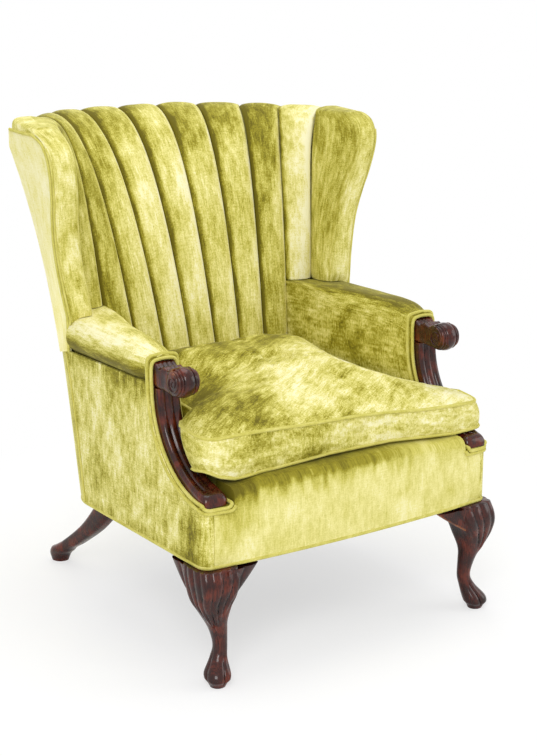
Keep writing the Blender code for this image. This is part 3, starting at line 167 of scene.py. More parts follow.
def through(rows: Sequence[Sequence[float]], count: int, closed: bool = False) -> np.ndarray:
    """Points of a smooth curve through rows of numbers, evenly spread between them.

    Args:
        rows: Points to pass through, of any dimension.
        count: How many points to return.
        closed: Whether the curve joins its own start.

    Returns:
        An array of count points; a closed curve doesn't repeat its first point.
    """
    line = np.asarray(rows, dtype=float)
    if closed:
        padded = np.vstack((line[-1], line, line[0], line[1]))
        places = np.linspace(0, len(line), count, endpoint=False)
    else:
        padded = np.vstack((2 * line[0] - line[1], line, 2 * line[-1] - line[-2]))
        places = np.linspace(0, len(line) - 1, count)
    out = []
    for place in places:
        i = min(int(place), len(padded) - 4)
        t = place - i
        a, b, c, d = padded[i:i + 4]
        out.append(0.5 * (2 * b + (c - a) * t + (2 * a - 5 * b + 4 * c - d) * t ** 2
                          + (3 * b - a - 3 * c + d) * t ** 3))
    return np.array(out)


def walk(line: np.ndarray, share: float) -> np.ndarray:
    """Point on a polyline.

    Args:
        line: Rows of numbers.
        share: Share of the number of steps along it.

    Returns:
        The row at that share.
    """
    place = clamp(share) * (len(line) - 1)
    i = min(int(place), len(line) - 2)
    return line[i] + (line[i + 1] - line[i]) * (place - i)


# Meshes


def skin(columns: int, rows: int, place: Place, span: Pair = (1.0, 1.0),
         nap: Shade | None = None, closed: bool = True, capped: bool = True) -> BMesh:
    """Bend a grid over a shape.

    Args:
        columns: Faces across.
        rows: Faces along.
        place: Where the grid point at shares (across, along) goes.
        span: Real width and length of the cloth, in metres, for its weave.
        nap: How pale (1) or dark (-1) the cloth is at the same shares, from its brushed pile and from painted
            light and shade.
        closed: Whether the grid's two long edges meet.
        capped: Whether the open ends are filled.

    Returns:
        The bent grid with a cloth map and, on each vertex, a value of pile and painted light and shade.
    """
    bm = bmesh.new()
    bmesh.ops.create_grid(bm, x_segments=columns, y_segments=rows, size=0.5)
    weave = bm.loops.layers.uv.new(CLOTH_UV)
    shade = bm.verts.layers.float.new(NAP_AND_SHADE)
    grid = {vert: (vert.co.x + 0.5, vert.co.y + 0.5) for vert in bm.verts}
    for face in bm.faces:
        for loop in face.loops:
            across, along = grid[loop.vert]
            loop[weave].uv = (across * span[0], along * span[1])
    for vert, (across, along) in grid.items():
        vert.co = place(across, along)
        vert[shade] = nap(across, along) if nap else 0.0
    if closed:
        bmesh.ops.remove_doubles(bm, verts=bm.verts, dist=MERGE)
    if capped:
        rim = [edge for edge in bm.edges if edge.is_boundary]
        bmesh.ops.holes_fill(bm, edges=rim, sides=0)
    bmesh.ops.recalc_face_normals(bm, faces=bm.faces)
    return bm


def slab(columns: int, rows: int, face: Callable[[float, float, float], Vector], span: Pair,
         nap: Shade | None = None) -> BMesh:
    """Bend a thin panel with a face, a lining and closed edges.

    Args:
        columns: Faces across each side.
        rows: Faces along.
        face: Where the point at shares (across, along) goes; a third share is 1 on the face and 0 on
            the lining.
        span: Real width and length of the panel, in metres.
        nap: How pale or dark the pile and the painted light and shade make it at the same shares.

    Returns:
        The closed panel.
    """
    around, last = 2 * columns + 2, rows + 2

    def shares(turn: float, along: float) -> Pair:
        """Shares across and along the panel for a point of the wrapped grid."""
        step = round(turn * around) % around
        across = (step if step <= columns else around - 1 - step) / columns
        return across, clamp((round(along * last) - 1) / rows)

    def place(turn: float, along: float) -> Vector:
        """Point on the face, the lining or the closed ends."""
        across, share = shares(turn, along)
        if round(along * last) in (0, last):
            return face(across, share, 0.5)
        return face(across, share, 1.0 if round(turn * around) % around <= columns else 0.0)

    shade = (lambda turn, along: nap(*shares(turn, along))) if nap else None
    return skin(around, last, place, (2 * span[0], span[1]), shade, capped=False)


def tube(points: Sequence[Vector], radius: float | Callable[[float], float], sides: int = 10,
         closed: bool = False) -> BMesh:
    """Sweep a round cord along points.

    Args:
        points: The cord's centre line.
        radius: One radius, or the radius at a share of the way along.
        sides: Faces round the cord.
        closed: Whether the cord joins its own start.

    Returns:
        The cord, with open ends filled.
    """
    line = [Vector(p) for p in points]
    count = len(line)
    frames = []
    across = None
    length = 0.0
    for i, here in enumerate(line):
        before = line[i - 1] if i or closed else here
        after = line[(i + 1) % count] if i < count - 1 or closed else here
        ahead = (after - before).normalized()
        if across is None:
            across = ahead.orthogonal().normalized()
        across = (across - ahead * across.dot(ahead)).normalized()
        frames.append((across.copy(), ahead.cross(across)))
        length += (line[i] - line[i - 1]).length if i else 0.0
    twist = 0.0
    if closed:
        ahead = (line[1] - line[-1]).normalized()
        last = (frames[-1][0] - ahead * frames[-1][0].dot(ahead)).normalized()
        twist = atan2(last.dot(frames[0][1]), last.dot(frames[0][0]))
    rows = count if closed else count - 1

    def place(turn: float, along: float) -> Vector:
        """Point on the cord's skin."""
        index = round(along * rows)
        across, up = frames[index % count]
        angle = 2 * pi * turn - (twist * along if index < count else 0.0)
        size = radius(along) if callable(radius) else radius
        return line[index % count] + size * (cos(angle) * across + sin(angle) * up)

    return skin(sides, rows, place, (2 * pi * CORD_MAP_RADIUS, length), None, True, not closed)


def lay_weave(bm: BMesh, rule: Callable[[Vector], Pair],
              where: Callable[[BMFace], bool] = lambda face: True) -> None:
    """Lay the cloth map by place instead of by the grid.

    Args:
        bm: The mesh.
        rule: Real place on the cloth for a vertex; the second number runs along the threads.
        where: Which faces to lay.
    """
    weave = bm.loops.layers.uv[CLOTH_UV]
    for face in bm.faces:
        if where(face):
            for loop in face.loops:
                loop[weave].uv = rule(loop.vert.co)


def smooth_route(rows: Sequence[Sequence[float]], count: int, closed: bool = False) -> list[Vector]:
    """Points of a smooth line through a few places, as vectors."""
    return [Vector(p) for p in through(rows, count, closed)]


def mark_wear(bm: BMesh, reach: float, ceiling: float = inf, bottom: float = -1.0) -> None:
    """Store on each vertex how far it stands out of its surroundings (1) or lies in a hollow (-1).

    Args:
        bm: The carved mesh.
        reach: Height of a full mark, in metres.
        ceiling: Height above which nothing is marked, because cloth covers it.
        bottom: Height below which nothing is marked.
    """
    layer = bm.verts.layers.float.new(WEAR)
    bm.normal_update()
    values = {}
    for vert in bm.verts:
        ring = [edge.other_vert(vert).co for edge in vert.link_edges]
        middle = sum(ring, Vector()) / max(len(ring), 1)
        values[vert] = (vert.co - middle).dot(vert.normal) / reach
    for _ in range(WEAR_ROUNDS):
        values = {vert: mix(value, sum(values[edge.other_vert(vert)] for edge in vert.link_edges)
                            / max(len(vert.link_edges), 1), 0.5)
                  for vert, value in values.items()}
    for vert, value in values.items():
        vert[layer] = clamp(value, -1.0, 1.0) if bottom < vert.co.z < ceiling else 0.0


# Finishes


def add(tree: NodeTree, kind: str | Node, settings: dict[str | int, Any] | None = None,
        links: dict[str | int, Node | NodeSocket] | None = None) -> Node:
    """Add a node with its settings and links, or give them to a node that is there.

    Args:
        tree: Node tree of a material or world.
        kind: Blender's name of the node type after ShaderNode, or the node.
        settings: Values of its properties, or of its inputs by name or number.
        links: What to join to its inputs, by name or number; a node stands for its first output.

    Returns:
        The node.
    """
    made = tree.nodes.new(f"ShaderNode{kind}") if isinstance(kind, str) else kind
    for key, value in (settings or {}).items():
        if isinstance(key, str) and hasattr(made, key):
            setattr(made, key, value)
        else:
            made.inputs[key].default_value = value
    for key, source in (links or {}).items():
        tree.links.new(source.outputs[0] if isinstance(source, Node) else source, made.inputs[key])
    return made


def paint_ramp(ramp: Node, stops: Tones) -> None:
    """Give a colour ramp its stops.

    Args:
        ramp: The node.
        stops: Places from 0 to 1 with their hex colours, in order.
    """
    elements = ramp.color_ramp.elements
    while len(elements) < len(stops):
        elements.new(0.5)
    for element, (place, code) in zip(elements, stops):
        element.position = place
        element.color = linear(code)


def new_material(name: str) -> tuple[Material, NodeTree, Node]:
    """Start a material.

    Args:
        name: What it is called.

    Returns:
        The material, its tree and its surface shader.
    """
    material = bpy.data.materials.new(name)
    material.use_nodes = True
    tree = material.node_tree
    return material, tree, tree.nodes["Principled BSDF"]


@dataclass(frozen=True)
class CrushedVelvet:
    """Silk velvet whose pile lies brushed both ways: pale where it leans away, deep where it faces.

    The eye gets cloudy patches some 65 mm across, brush streaks along the cloth and fine slubs; the value
    that each piece stores adds painted light and shade.
    """

    name: str = "crushed_silk_velvet"
    slot: str = "chartreuse_velvet"
    # Places and colours from the deep pile to its glints
    tones: Tones = ((0.05, "#665D0C"), (0.30, "#9A9128"), (0.52, "#CAC260"), (0.74, "#E8E094"),
                    (0.97, "#F7F2CA"))
    cloud_mm: float = 66.0
    brush_mm: float = 14.0
    slub_mm: float = 3.2
    grain_mm: float = 2.8
    contrast: float = 1.0
    level: float = 0.56
    # Weight of the stored value of pile and painted light and shade
    nap_weight: float = 0.42
    roughness: float = 0.72
    sheen: float = 0.5
    sheen_tint: str = "#EDE9A0"

    def material(self) -> Material:
        """Build the material.

        Returns:
            The material.
        """
        material, tree, shader = new_material(self.name)
        cloth = add(tree, "UVMap", {"uv_map": CLOTH_UV})
        # The stored value carries the pile's lie together with painted light and shade
        lie = add(tree, "Attribute", {"attribute_name": NAP_AND_SHADE}).outputs["Fac"]
        # Size in mm, stretch across and along the threads, detail and weight; real pile is finer than
        # the last of them, which is as coarse as it needs to show
        layers = ((self.cloud_mm, 1.0, 0.60, 6.0, 1.15), (self.brush_mm, 1.0, 0.34, 5.0, 0.80),
                  (self.slub_mm, 1.0, 0.12, 2.0, 0.50), (self.slub_mm, 0.20, 1.0, 2.0, 0.30),
                  (self.grain_mm, 1.0, 1.0, 2.0, 0.62))
        total = add(tree, "Math", {"operation": "MULTIPLY_ADD", 1: self.nap_weight, 2: self.level},
                    {0: lie})
        marks = []
        for size, across, along, detail, weight in layers:
            spot = add(tree, "Mapping", {"Scale": (across, along, 1.0)}, {"Vector": cloth})
            mark = add(tree, "TexNoise", {"Scale": 1000 / size, "Detail": detail, "Roughness": 0.66},
                       {"Vector": spot})
            weight *= self.contrast
            lifted = add(tree, "Math", {"operation": "MULTIPLY_ADD", 1: weight, 2: -0.5 * weight},
                         {0: mark})
            total = add(tree, "Math", {"operation": "ADD"}, {0: total, 1: lifted})
            marks.append(mark)
        ramp = add(tree, "ValToRGB", None, {"Fac": total})
        paint_ramp(ramp, self.tones)
        _, _, slubs, _, pile = marks
        grain = add(tree, "Math", {"operation": "MULTIPLY_ADD", 1: 0.6}, {0: slubs, 2: pile})
        bump = add(tree, "Bump", {"Strength": 0.25, "Distance": 0.0012}, {"Height": grain})
        add(tree, shader, {"Roughness": self.roughness, "Specular IOR Level": 0.22,
                           "Sheen Weight": self.sheen, "Sheen Roughness": 0.30,
                           "Sheen Tint": linear(self.sheen_tint)},
            {"Base Color": ramp.outputs["Color"], "Normal": bump})
        return material


@dataclass(frozen=True)
class FrenchPolishedMahogany:
    """Dark stained mahogany under a worn shellac polish: red-brown grain, bright rubbed edges."""

    name: str = "french_polished_mahogany"
    slot: str = "dark_mahogany"
    tones: Tones = ((0.55, "#1B0A07"), (0.78, "#3A130B"), (0.98, "#642410"))
    hollow: str = "#0D0605"
    rubbed: str = "#8A4F28"
    grain_mm: float = 3.0
    figure_mm: float = 30.0
    grain_stretch: float = 0.07
    polish: float = 0.5

    def material(self) -> Material:
        """Build the material.

        Returns:
            The material.
        """
        material, tree, shader = new_material(self.name)
        spot = add(tree, "TexCoord").outputs["Object"]
        along = add(tree, "Mapping", {"Scale": (1.0, 1.0, self.grain_stretch)}, {"Vector": spot})
        grain = add(tree, "TexNoise",
                    {"Scale": 1000 / self.grain_mm, "Detail": 5.0, "Roughness": 0.6},
                    {"Vector": along})
        figure = add(tree, "TexNoise", {"Scale": 1000 / self.figure_mm, "Detail": 3.0},
                     {"Vector": spot})
        mixed = add(tree, "Math", {"operation": "MULTIPLY_ADD", 1: 0.55}, {0: grain, 2: figure})
        wood = add(tree, "ValToRGB", None, {"Fac": mixed})
        paint_ramp(wood, self.tones)
        mark = add(tree, "Attribute", {"attribute_name": WEAR}).outputs["Fac"]
        patchy = add(tree, "Math", {"operation": "MULTIPLY"}, {0: mark, 1: figure})
        rub = add(tree, "MapRange", {"From Min": 0.20, "From Max": 0.55}, {"Value": patchy})
        worn = add(tree, "Mix", {"data_type": "RGBA", SECOND_COLOUR: linear(self.rubbed)},
                   {0: rub, FIRST_COLOUR: wood.outputs["Color"]})
        sink = add(tree, "MapRange", {"From Min": -0.10, "From Max": -0.45}, {"Value": mark})
        stained = add(tree, "Mix", {"data_type": "RGBA", SECOND_COLOUR: linear(self.hollow)},
                      {0: sink, FIRST_COLOUR: worn.outputs[MIXED]})
        gloss = add(tree, "MapRange",
                    {"From Min": 0.3, "From Max": 0.8, "To Min": 0.22, "To Max": 0.40}, {"Value": grain})
        bump = add(tree, "Bump", {"Strength": 0.12, "Distance": 0.0006}, {"Height": grain})
        add(tree, shader, {"Specular IOR Level": 0.14, "Coat Weight": self.polish, "Coat Roughness": 0.05},
            {"Base Color": stained.outputs[MIXED], "Roughness": gloss, "Normal": bump})
        return material


@dataclass(frozen=True)
class PlainStuff:
    """A hidden plain material: raw beech, jute, spring wire or cotton, with a streaked colour."""

    name: str
    slot: str
    dark: str
    light: str
    streak_mm: float
    stretch: Triple
    roughness: float
    metallic: float = 0.0

    def material(self) -> Material:
        """Build the material.

        Returns:
            The material.
        """
        material, tree, shader = new_material(self.name)
        spot = add(tree, "TexCoord").outputs["Object"]
        along = add(tree, "Mapping", {"Scale": self.stretch}, {"Vector": spot})
        streak = add(tree, "TexNoise", {"Scale": 1000 / self.streak_mm, "Detail": 4.0},
                     {"Vector": along})
        ramp = add(tree, "ValToRGB", None, {"Fac": streak})
        paint_ramp(ramp, ((0.3, self.dark), (0.7, self.light)))
        bump = add(tree, "Bump", {"Strength": 0.2, "Distance": 0.0006}, {"Height": streak})
        add(tree, shader, {"Roughness": self.roughness, "Metallic": self.metallic},
            {"Base Color": ramp.outputs["Color"], "Normal": bump})
        return material


Finish = CrushedVelvet | FrenchPolishedMahogany | PlainStuff

# The same velvet, brushed about most on the arms and cushion and least where it is stretched
VELVET = CrushedVelvet()
MOTTLED_VELVET = CrushedVelvet(name="mottled_silk_velvet", contrast=1.22)
CALM_VELVET = CrushedVelvet(name="smooth_silk_velvet", contrast=0.55)
WELT = CrushedVelvet(name="velvet_covered_cord", slot="velvet_welt", cloud_mm=30.0, brush_mm=9.0, slub_mm=2.0,
                     contrast=0.4, level=0.53)
MAHOGANY = FrenchPolishedMahogany()
BEECH = PlainStuff("raw_beech", "frame_beech", "#A9784A", "#C79B6B", 4.0, (1.0, 0.1, 1.0), 0.62)
JUTE = PlainStuff("woven_jute", "jute", "#6E5432", "#9A7C50", 2.5, (1.0, 1.0, 1.0), 0.92)
WIRE = PlainStuff("drawn_spring_wire", "spring_steel", "#5A5A5C", "#8A8A8C", 3.0, (1.0, 1.0, 1.0), 0.38, 1.0)
CAMBRIC = PlainStuff("black_cambric", "black_cambric", "#0D0D0D", "#1C1C1C", 1.5, (1.0, 1.0, 1.0), 0.95)
TICKING = PlainStuff("cotton_platform_cloth", "jute", "#8C8632", "#A49D48", 1.6, (1.0, 1.0, 1.0), 0.9)


@cache
def dressed(finish: Finish) -> Material:
    """The one material of a finish."""
    return finish.material()


def keep(bm: BMesh, name: str, finish: Finish, stands_for: Sequence[str] = (), body: str = CHAIR,
         sharp: float = 50.0) -> Object:
    """Make a finished piece of a mesh: named, dressed, riding on its body.

    Args:
        bm: The mesh, which is freed.
        name: Name of the piece.
        finish: What it is made of.
        stands_for: CAD nodes that it replaces.
        body: CAD body that it rides on.
        sharp: Edges steeper than this many degrees stay sharp.

    Returns:
        The new object.
    """
    weave = bm.loops.layers.uv.get(CLOTH_UV)
    if weave:
        code = zlib.crc32(name.encode())
        start = Vector((code % 97, code % 89)) * 0.13
        for face in bm.faces:
            for loop in face.loops:
                loop[weave].uv += start
    mesh = bpy.data.meshes.new(name)
    bm.to_mesh(mesh)
    bm.free()
    mesh.shade_smooth()
    mesh.set_sharp_from_angle(angle=radians(sharp))
    mesh.materials.append(dressed(finish))
    made = bpy.data.objects.new(name, mesh)
    bpy.context.scene.collection.objects.link(made)
    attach(made, body)
    if stands_for:
        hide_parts(*stands_for)
    LOG.info("%s: %d faces, for %s", name, len(mesh.polygons), ", ".join(stands_for) or "trim")
    return made


def swell(made: Object, sewn: Callable[[Vector], bool], pressure: float, cap: float,
          frames: int = 20) -> None:
    """Let a cover swell like cloth over its filling, and keep the shape that it takes.

    Args:
        made: The cover.
        sewn: Which of its points are held by a seam or rest on something.
        pressure: Push of the filling.
        cap: Farthest that a point may move, in metres.
        frames: Steps of the simulation.
    """
    mesh = made.data
    before = [vert.co.copy() for vert in mesh.vertices]
    group = made.vertex_groups.new(name="sewn")
    group.add([vert.index for vert in mesh.vertices if sewn(vert.co)], 1.0, "REPLACE")
    cloth = made.modifiers.new("swell", "CLOTH")
    settings = {"quality": 6, "mass": 0.3, "bending_stiffness": 0.4, "use_pressure": True,
                "uniform_pressure_force": pressure, "shrink_min": -0.025, "vertex_group_mass": group.name}
    for key, value in settings.items():
        setattr(cloth.settings, key, value)
    cloth.settings.effector_weights.gravity = 0.0
    for frame in range(1, frames + 1):
        bpy.context.scene.frame_set(frame)
    shaped = made.evaluated_get(bpy.context.evaluated_depsgraph_get()).data
    after = [vert.co.copy() for vert in shaped.vertices]
    made.modifiers.remove(cloth)
    made.vertex_groups.remove(group)
    bpy.context.scene.frame_set(1)
    for vert, start, end in zip(mesh.vertices, before, after):
        step = end - start
        vert.co = start + step * min(1.0, cap / max(step.length, 1e-9))
    farthest = max((vert.co - start).length for vert, start in zip(mesh.vertices, before))
    LOG.info("%s swelled by up to %.1f mm", made.name, 1000 * farthest)


# Shared sizes of the chair


@dataclass(frozen=True)
class Base:
    """Plan and heights that the upholstery and the show-wood share."""

    front_y: float = -0.394
    half_width: float = 0.340
    corner: float = 0.022
    bow: float = 0.014
    side_back_y: float = 0.044
    rear_y: float = 0.204
    hem_z: float = 0.225
    rail_top: float = 0.343
    deck_top: float = 0.3803
    panel: float = 0.006
    seat_back_y: float = 0.144
    arm_top: float = 0.603
    arm_roll: float = 0.036
    arm_front_y: float = -0.2144
    post_top: float = 0.5276
    post_x: float = 0.310
    post_half: float = 0.024
    post_sweep: float = 0.157
    post_rise: float = 0.162
    post_depth: float = 0.022
    post_clear: float = 0.0006
    crease: float = 0.0045
    cover_lift: float = 0.0055
    # Straight stretches of the plan outline: end of the front's half, and start and end of the side
    front_run: float = 0.300
    side_run: Pair = (-0.340, 0.020)

    @property
    def roll_z(self) -> float:
        """Height of the arm roll's centre."""
        return self.arm_top - self.arm_roll

    @property
    def panel_top(self) -> float:
        """Height of the crease under the arm roll."""
        return self.roll_z - self.arm_roll + self.crease

    def front_bow(self, x: float) -> float:
        """How far the front swells forward at x."""
        edge = self.half_width - self.corner
        return self.bow * max(0.0, 1 - (x / edge) ** 2)

    def cover_front(self, x: float) -> float:
        """Depth of the front cover at x, round the front corner too."""
        past = clamp(x - self.half_width + self.corner, 0.0, self.corner)
        return self.front_y - self.front_bow(x) + self.corner - sqrt(self.corner ** 2 - past ** 2)

    def rear(self, u: float) -> Vector:
        """Plan point of the rear outline at the hem: u is 1 at the side and 0 at the centre."""
        angle = u * pi / 2
        return Vector((self.half_width * sin(angle),
                       mix(self.side_back_y, self.rear_y, cos(angle)), 0))

    def outline(self, inset: float) -> list[Vector]:
        """The base's plan outline, from the front centre round by the right.

        Args:
            inset: How far it is moved in.

        Returns:
            A closed line of points at height 0.
        """
        half = [Vector((x, self.front_y + inset - self.front_bow(x), 0))
                for x in np.linspace(0, self.front_run, 31)]
        radius = self.corner - inset
        for degrees in range(-90, 1, 15):
            turn = radians(degrees)
            half.append(Vector((self.half_width - self.corner + radius * cos(turn),
                                self.front_y + self.corner + radius * sin(turn), 0)))
        half += [Vector((self.half_width - inset, y, 0)) for y in np.linspace(*self.side_run, 12)]
        for u in np.linspace(1, 0, 30):
            point = self.rear(float(u))
            out = Vector((sin(u * pi / 2) * (self.rear_y - self.side_back_y),
                          cos(u * pi / 2) * self.half_width, 0)).normalized()
            half.append(point - inset * out)
        return half + [Vector((-p.x, p.y, 0)) for p in half[-2:0:-1]]

    def sweep(self, angle: float, offset: float) -> Pair:
        """Side-view y and z on the arm post's sweep, moved back into the arm by offset."""
        return (self.front_y + (self.post_sweep + offset) * cos(angle),
                self.post_top - (self.post_rise + offset) * sin(angle))

    def arm_front(self, z: float) -> float:
        """Depth of the padded arm's front, behind the carved post.

        Args:
            z: Height.

        Returns:
            The depth.
        """
        reach = self.post_depth + self.post_clear
        if z >= self.post_top:
            return self.front_y + self.post_sweep + reach
        drop = min((self.post_top - z) / (self.post_rise + reach), 1.0)
        return self.front_y + (self.post_sweep + reach) * sqrt(1 - drop * drop)


BASE = Base()


# The fan back


class Column:
    """The notch line between two channels at position u: -1 left wing seam, 1 right wing seam."""

    def __init__(self, fan: "FanBack", u: float) -> None:
        """Set the line's foot, head and lean.

        Args:
            fan: Sizes of the fan.
            u: Place across the back, from -1 to 1.
        """
        x = float(np.interp(abs(u) * fan.arc[-1], fan.arc, fan.arc_x))
        share = x / fan.half_span
        slope = fan.sag * fan.power / fan.half_span * share ** (fan.power - 1)
        side = -1 if u < 0 else 1
        self.fan = fan
        self.head = Vector((side * x, fan.ridge_y - fan.sag * share ** fan.power, 0))
        self.foot = Vector((u * fan.channels / 2 * fan.foot_width, BASE.seat_back_y, 0))
        self.outward = Vector((side * slope, 1, 0)).normalized()
        self.reach = (self.head - self.foot).length
        self.roll = fan.roll + fan.roll_growth * abs(u) ** 6
        back, up = fan.curve[2]
        self.end_angle = atan2(self.reach * (1 - back), (fan.ridge_z - fan.seat_level) * (1 - up))
        dip = fan.ridge_dip + fan.ridge_fall * ease(u, 0.15, 0.75)
        self.rise = fan.ridge_z - dip - self.roll * (1 - sin(self.end_angle)) - fan.seat_level
        self.drawn = -side * fan.drawn_in * ease(abs(u), 0.50, 1.0)

    def shares(self, t: float) -> tuple[float, ...]:
        """How far the line has gone at a place on its curve.

        Args:
            t: Curve position, 0 at the seat and 1 at the ridge.

        Returns:
            Backward share, upward share and their rates.
        """
        k = 1 - t
        places, rates = [], []
        for b, c, d in zip(*self.fan.curve[1:]):
            places.append(3 * b * t if t < 0 else 3 * k * k * t * b + 3 * k * t * t * c + t ** 3 * d)
            rates.append(3 * b if t < 0 else 3 * k * k * b + 6 * k * t * (c - b) + 3 * t * t * (d - c))
        return *places, *rates

    def at(self, t: float) -> tuple[Vector, Vector]:
        """Place on the notch line.

        Args:
            t: Curve position.

        Returns:
            The point and the direction out of the padding.
        """
        back, up, back_rate, up_rate = self.shares(t)
        angle = atan2(self.reach * back_rate, self.rise * up_rate)
        point = self.foot + (self.head - self.foot) * back
        point.z = self.fan.seat_level + self.rise * up
        point.x += self.drawn * ease(back, 0.0, 0.7)
        flat = Vector((0, 1, 0)).lerp(self.outward, clamp(back)).normalized()
        return point, -cos(angle) * flat + sin(angle) * UP

    def over(self, angle: float) -> tuple[Vector, Vector]:
        """Place on the roll that carries the padding over the top.

        Args:
            angle: Turn of the outward direction: 0 faces forward, pi straight back.

        Returns:
            The point and its outward direction.
        """
        centre = self.head.copy()
        centre.z = self.fan.seat_level + self.rise
        centre += self.roll * (cos(self.end_angle) * self.outward - sin(self.end_angle) * UP)
        out = -cos(angle) * self.outward + sin(angle) * UP
        point = centre + self.roll * out
        point.x += self.drawn * (1 - ease(angle, self.end_angle, pi))
        return point, out

    @cache
    def t_at(self, z: float) -> float:
        """Find where the line reaches a height.

        Args:
            z: Height.

        Returns:
            The curve position.
        """
        share = (z - self.fan.seat_level) / self.rise
        if share < 0:
            return share / (3 * self.fan.curve[1][1])
        grid = np.linspace(0, 1, 60)
        return float(np.interp(share, [self.shares(float(t))[1] for t in grid], grid))


@dataclass(frozen=True)
class FanBack:
    """Stuffed channels that spread from the seat to a scalloped ridge, and the panel behind them."""

    channels: int = 9
    foot_width: float = 0.064
    seat_level: float = 0.505
    ridge_y: float = 0.384
    ridge_z: float = 0.975
    ridge_dip: float = 0.0025
    ridge_fall: float = 0.0045
    drawn_in: float = 0.014
    half_span: float = 0.334
    sag: float = 0.211
    power: float = 3.5
    roll: float = 0.029
    roll_growth: float = 0.006
    crown_foot: float = 0.017
    crown_head: float = 0.021
    crown_ridge: float = 0.009
    seam_depth: float = 0.010
    seam_fit: float = 0.0012
    # Height and breadth of the stuffing's lumps, and of the puckers beside a seam
    lump: Pair = (0.0013, 0.050)
    pucker: Pair = (0.0022, 0.011)
    panel_foot: float = 0.008
    panel_puff: float = 0.003
    welt_radius: float = 0.0018
    welt_out: float = 0.001
    curve: Table = ((0.0, 0.0), (0.24, 0.468), (0.56, 0.936), (1.0, 1.0))
    # How pale each channel's pile lies, with painted light and shade, from the left wing to the right
    lie: tuple[float, ...] = (-0.25, -0.25, 0.05, 0.25, 0.3, 0.15, 0.05, -0.2, 0.6)

    @property
    def arc_x(self) -> np.ndarray:
        """Places across half of the ridge."""
        return np.linspace(0, self.half_span, 200)

    @property
    def arc(self) -> np.ndarray:
        """Length along the ridge up to each of those places."""
        x = self.arc_x
        y = self.sag * (x / self.half_span) ** self.power
        return np.concatenate(([0.0], np.cumsum(np.hypot(np.diff(x), np.diff(y)))))

    @cache
    def column(self, u: float) -> Column:
        """The notch line at position u."""
        return Column(self, u)

    def outside(self, u: float, z: float) -> Vector:
        """Outer surface of the cloth behind the back.

        Args:
            u: Place across the back, from -1 to 1.
            z: Height.

        Returns:
            The point.
        """
        top = self.column(u).over(pi)[0]
        foot = BASE.rear(abs(u))
        side = -1 if u < 0 else 1
        share = (z - BASE.hem_z) / (top.z - BASE.hem_z)
        return Vector((side * foot.x + (top.x - side * foot.x) * share ** 2.6,
                       foot.y + (top.y - foot.y) * (0.7 * share + 0.3 * share ** 3), z))

    def outside_normal(self, u: float, z: float) -> Vector:
        """Plan direction straight out of the outside back."""
        step = 0.004
        run = self.outside(min(u + step, 1.0), z) - self.outside(max(u - step, -1.0), z)
        return Vector((-run.y, run.x, 0)).normalized()

    def channel(self, index: int) -> None:
        """Stuff one channel: a crowned front, deep seams at its sides and a scalloped top.

        Args:
            index: Its place, counted from the left wing.
        """
        width = 2 / self.channels
        fit = self.seam_fit / (self.channels * self.foot_width)
        middle = -1 + (index + 0.5) * width
        half = width / 2 - fit
        on_arm = index in (0, self.channels - 1)
        low = BASE.arm_top + REST if on_arm else BASE.deck_top + SEAM
        front, wall, bend = 0.70, 0.08, 0.80

        def across_at(turn: float) -> Pair:
            """Place across the channel and depth share below its notch line."""
            if turn <= front:
                return -cos(pi * turn / front), 0.0
            if turn <= front + wall:
                return 1.0, (turn - front) / wall
            if turn <= 1 - wall:
                return 1 - 2 * (turn - front - wall) / (1 - front - 2 * wall), 1.0
            return -1.0, (1 - turn) / wall

        def place(turn: float, along: float) -> Vector:
            """Point on the channel's skin."""
            across, sunk = across_at(turn)
            u = round(middle + half * across, 6)
            column = self.column(u)
            swell = max(0.0, 1 - abs(across) ** 2.5) ** 0.5 if sunk == 0 else 0.0
            if along <= bend:
                first = column.t_at(low)
                t = first + (1 - first) * along / bend
                point, out = column.at(t)
                share = max(0.0, t)
                crown = mix(self.crown_foot, self.crown_head, share)
                crown += (self.crown_ridge - self.crown_head) * share ** 4
            else:
                share = (along - bend) / (1 - bend)
                point, out = column.over(mix(column.end_angle, pi, share))
                crown = self.crown_ridge * (1 - share * share)
            tight = abs(across) ** 4 * swell
            crown += self.lump[0] * wander(point, self.lump[1], index)
            crown -= self.pucker[0] * tight * abs(wander(point, self.pucker[1], index + 7))
            point = point + out * (crown * swell - self.seam_depth * sunk)
            if along == 0:
                point.z = low
            return point

        def nap(turn: float, along: float) -> float:
            """Painted shade beside the left seam of each channel, a painted sheen highlight towards its right
            edge, and darker towards its top.
            """
            across, _ = across_at(turn)
            # Painted shade on the left seam's side of the channel and a painted sheen highlight along its
            # right edge
            tilt = 0.25 * across - 1.1 * (1 - ease(across, -1.0, -0.70)) + 0.5 * ease(across, 0.60, 0.95)
            high = -0.65 * ease(along, 0.42, 0.78) * (1 if 2 <= index <= 7 else 0.4)
            return self.lie[index] + tilt + high

        bm = skin(60, 96, place, (0.16, 0.66), nap)
        keep(bm, f"channel_{index + 1}", VELVET, [f"back_channel_{index + 1}"])

    def outside_panel(self) -> None:
        """Close the rear with one padded panel from the hem to the fold of the channels."""
        low = BASE.hem_z + self.panel_foot

        def face(across: float, along: float, out: float) -> Vector:
            """Point on the panel's face or lining."""
            u = round(0.998 * (2 * across - 1), 6)
            z = mix(low, self.column(u).over(pi)[0].z - SEAM, along)
            puff = self.panel_puff * (1 - u ** 8) * sin(pi * along) ** 0.5
            return self.outside(u, z) + self.outside_normal(u, z) * mix(-BASE.panel, puff, out)

        bm = slab(60, 44, face, (1.0, 0.75), lambda s, t: 0.1 * sin(9 * s))
        keep(bm, "outside_back_cover", VELVET, ["outside_back"])
        edge = 0.996
        for side in Side:
            rows = [side.turn(self.outside(edge, float(z)) + Vector((self.welt_out, self.welt_out, 0)))
                    for z in np.linspace(low, self.column(edge).over(pi)[0].z, 30)]
            keep(tube(rows, self.welt_radius), f"back_edge_welt_{side.word}", WELT)

    def build(self) -> None:
        """Build the whole back."""
        for index in range(self.channels):
            self.channel(index)
        self.outside_panel()


FAN = FanBack()


# Wings


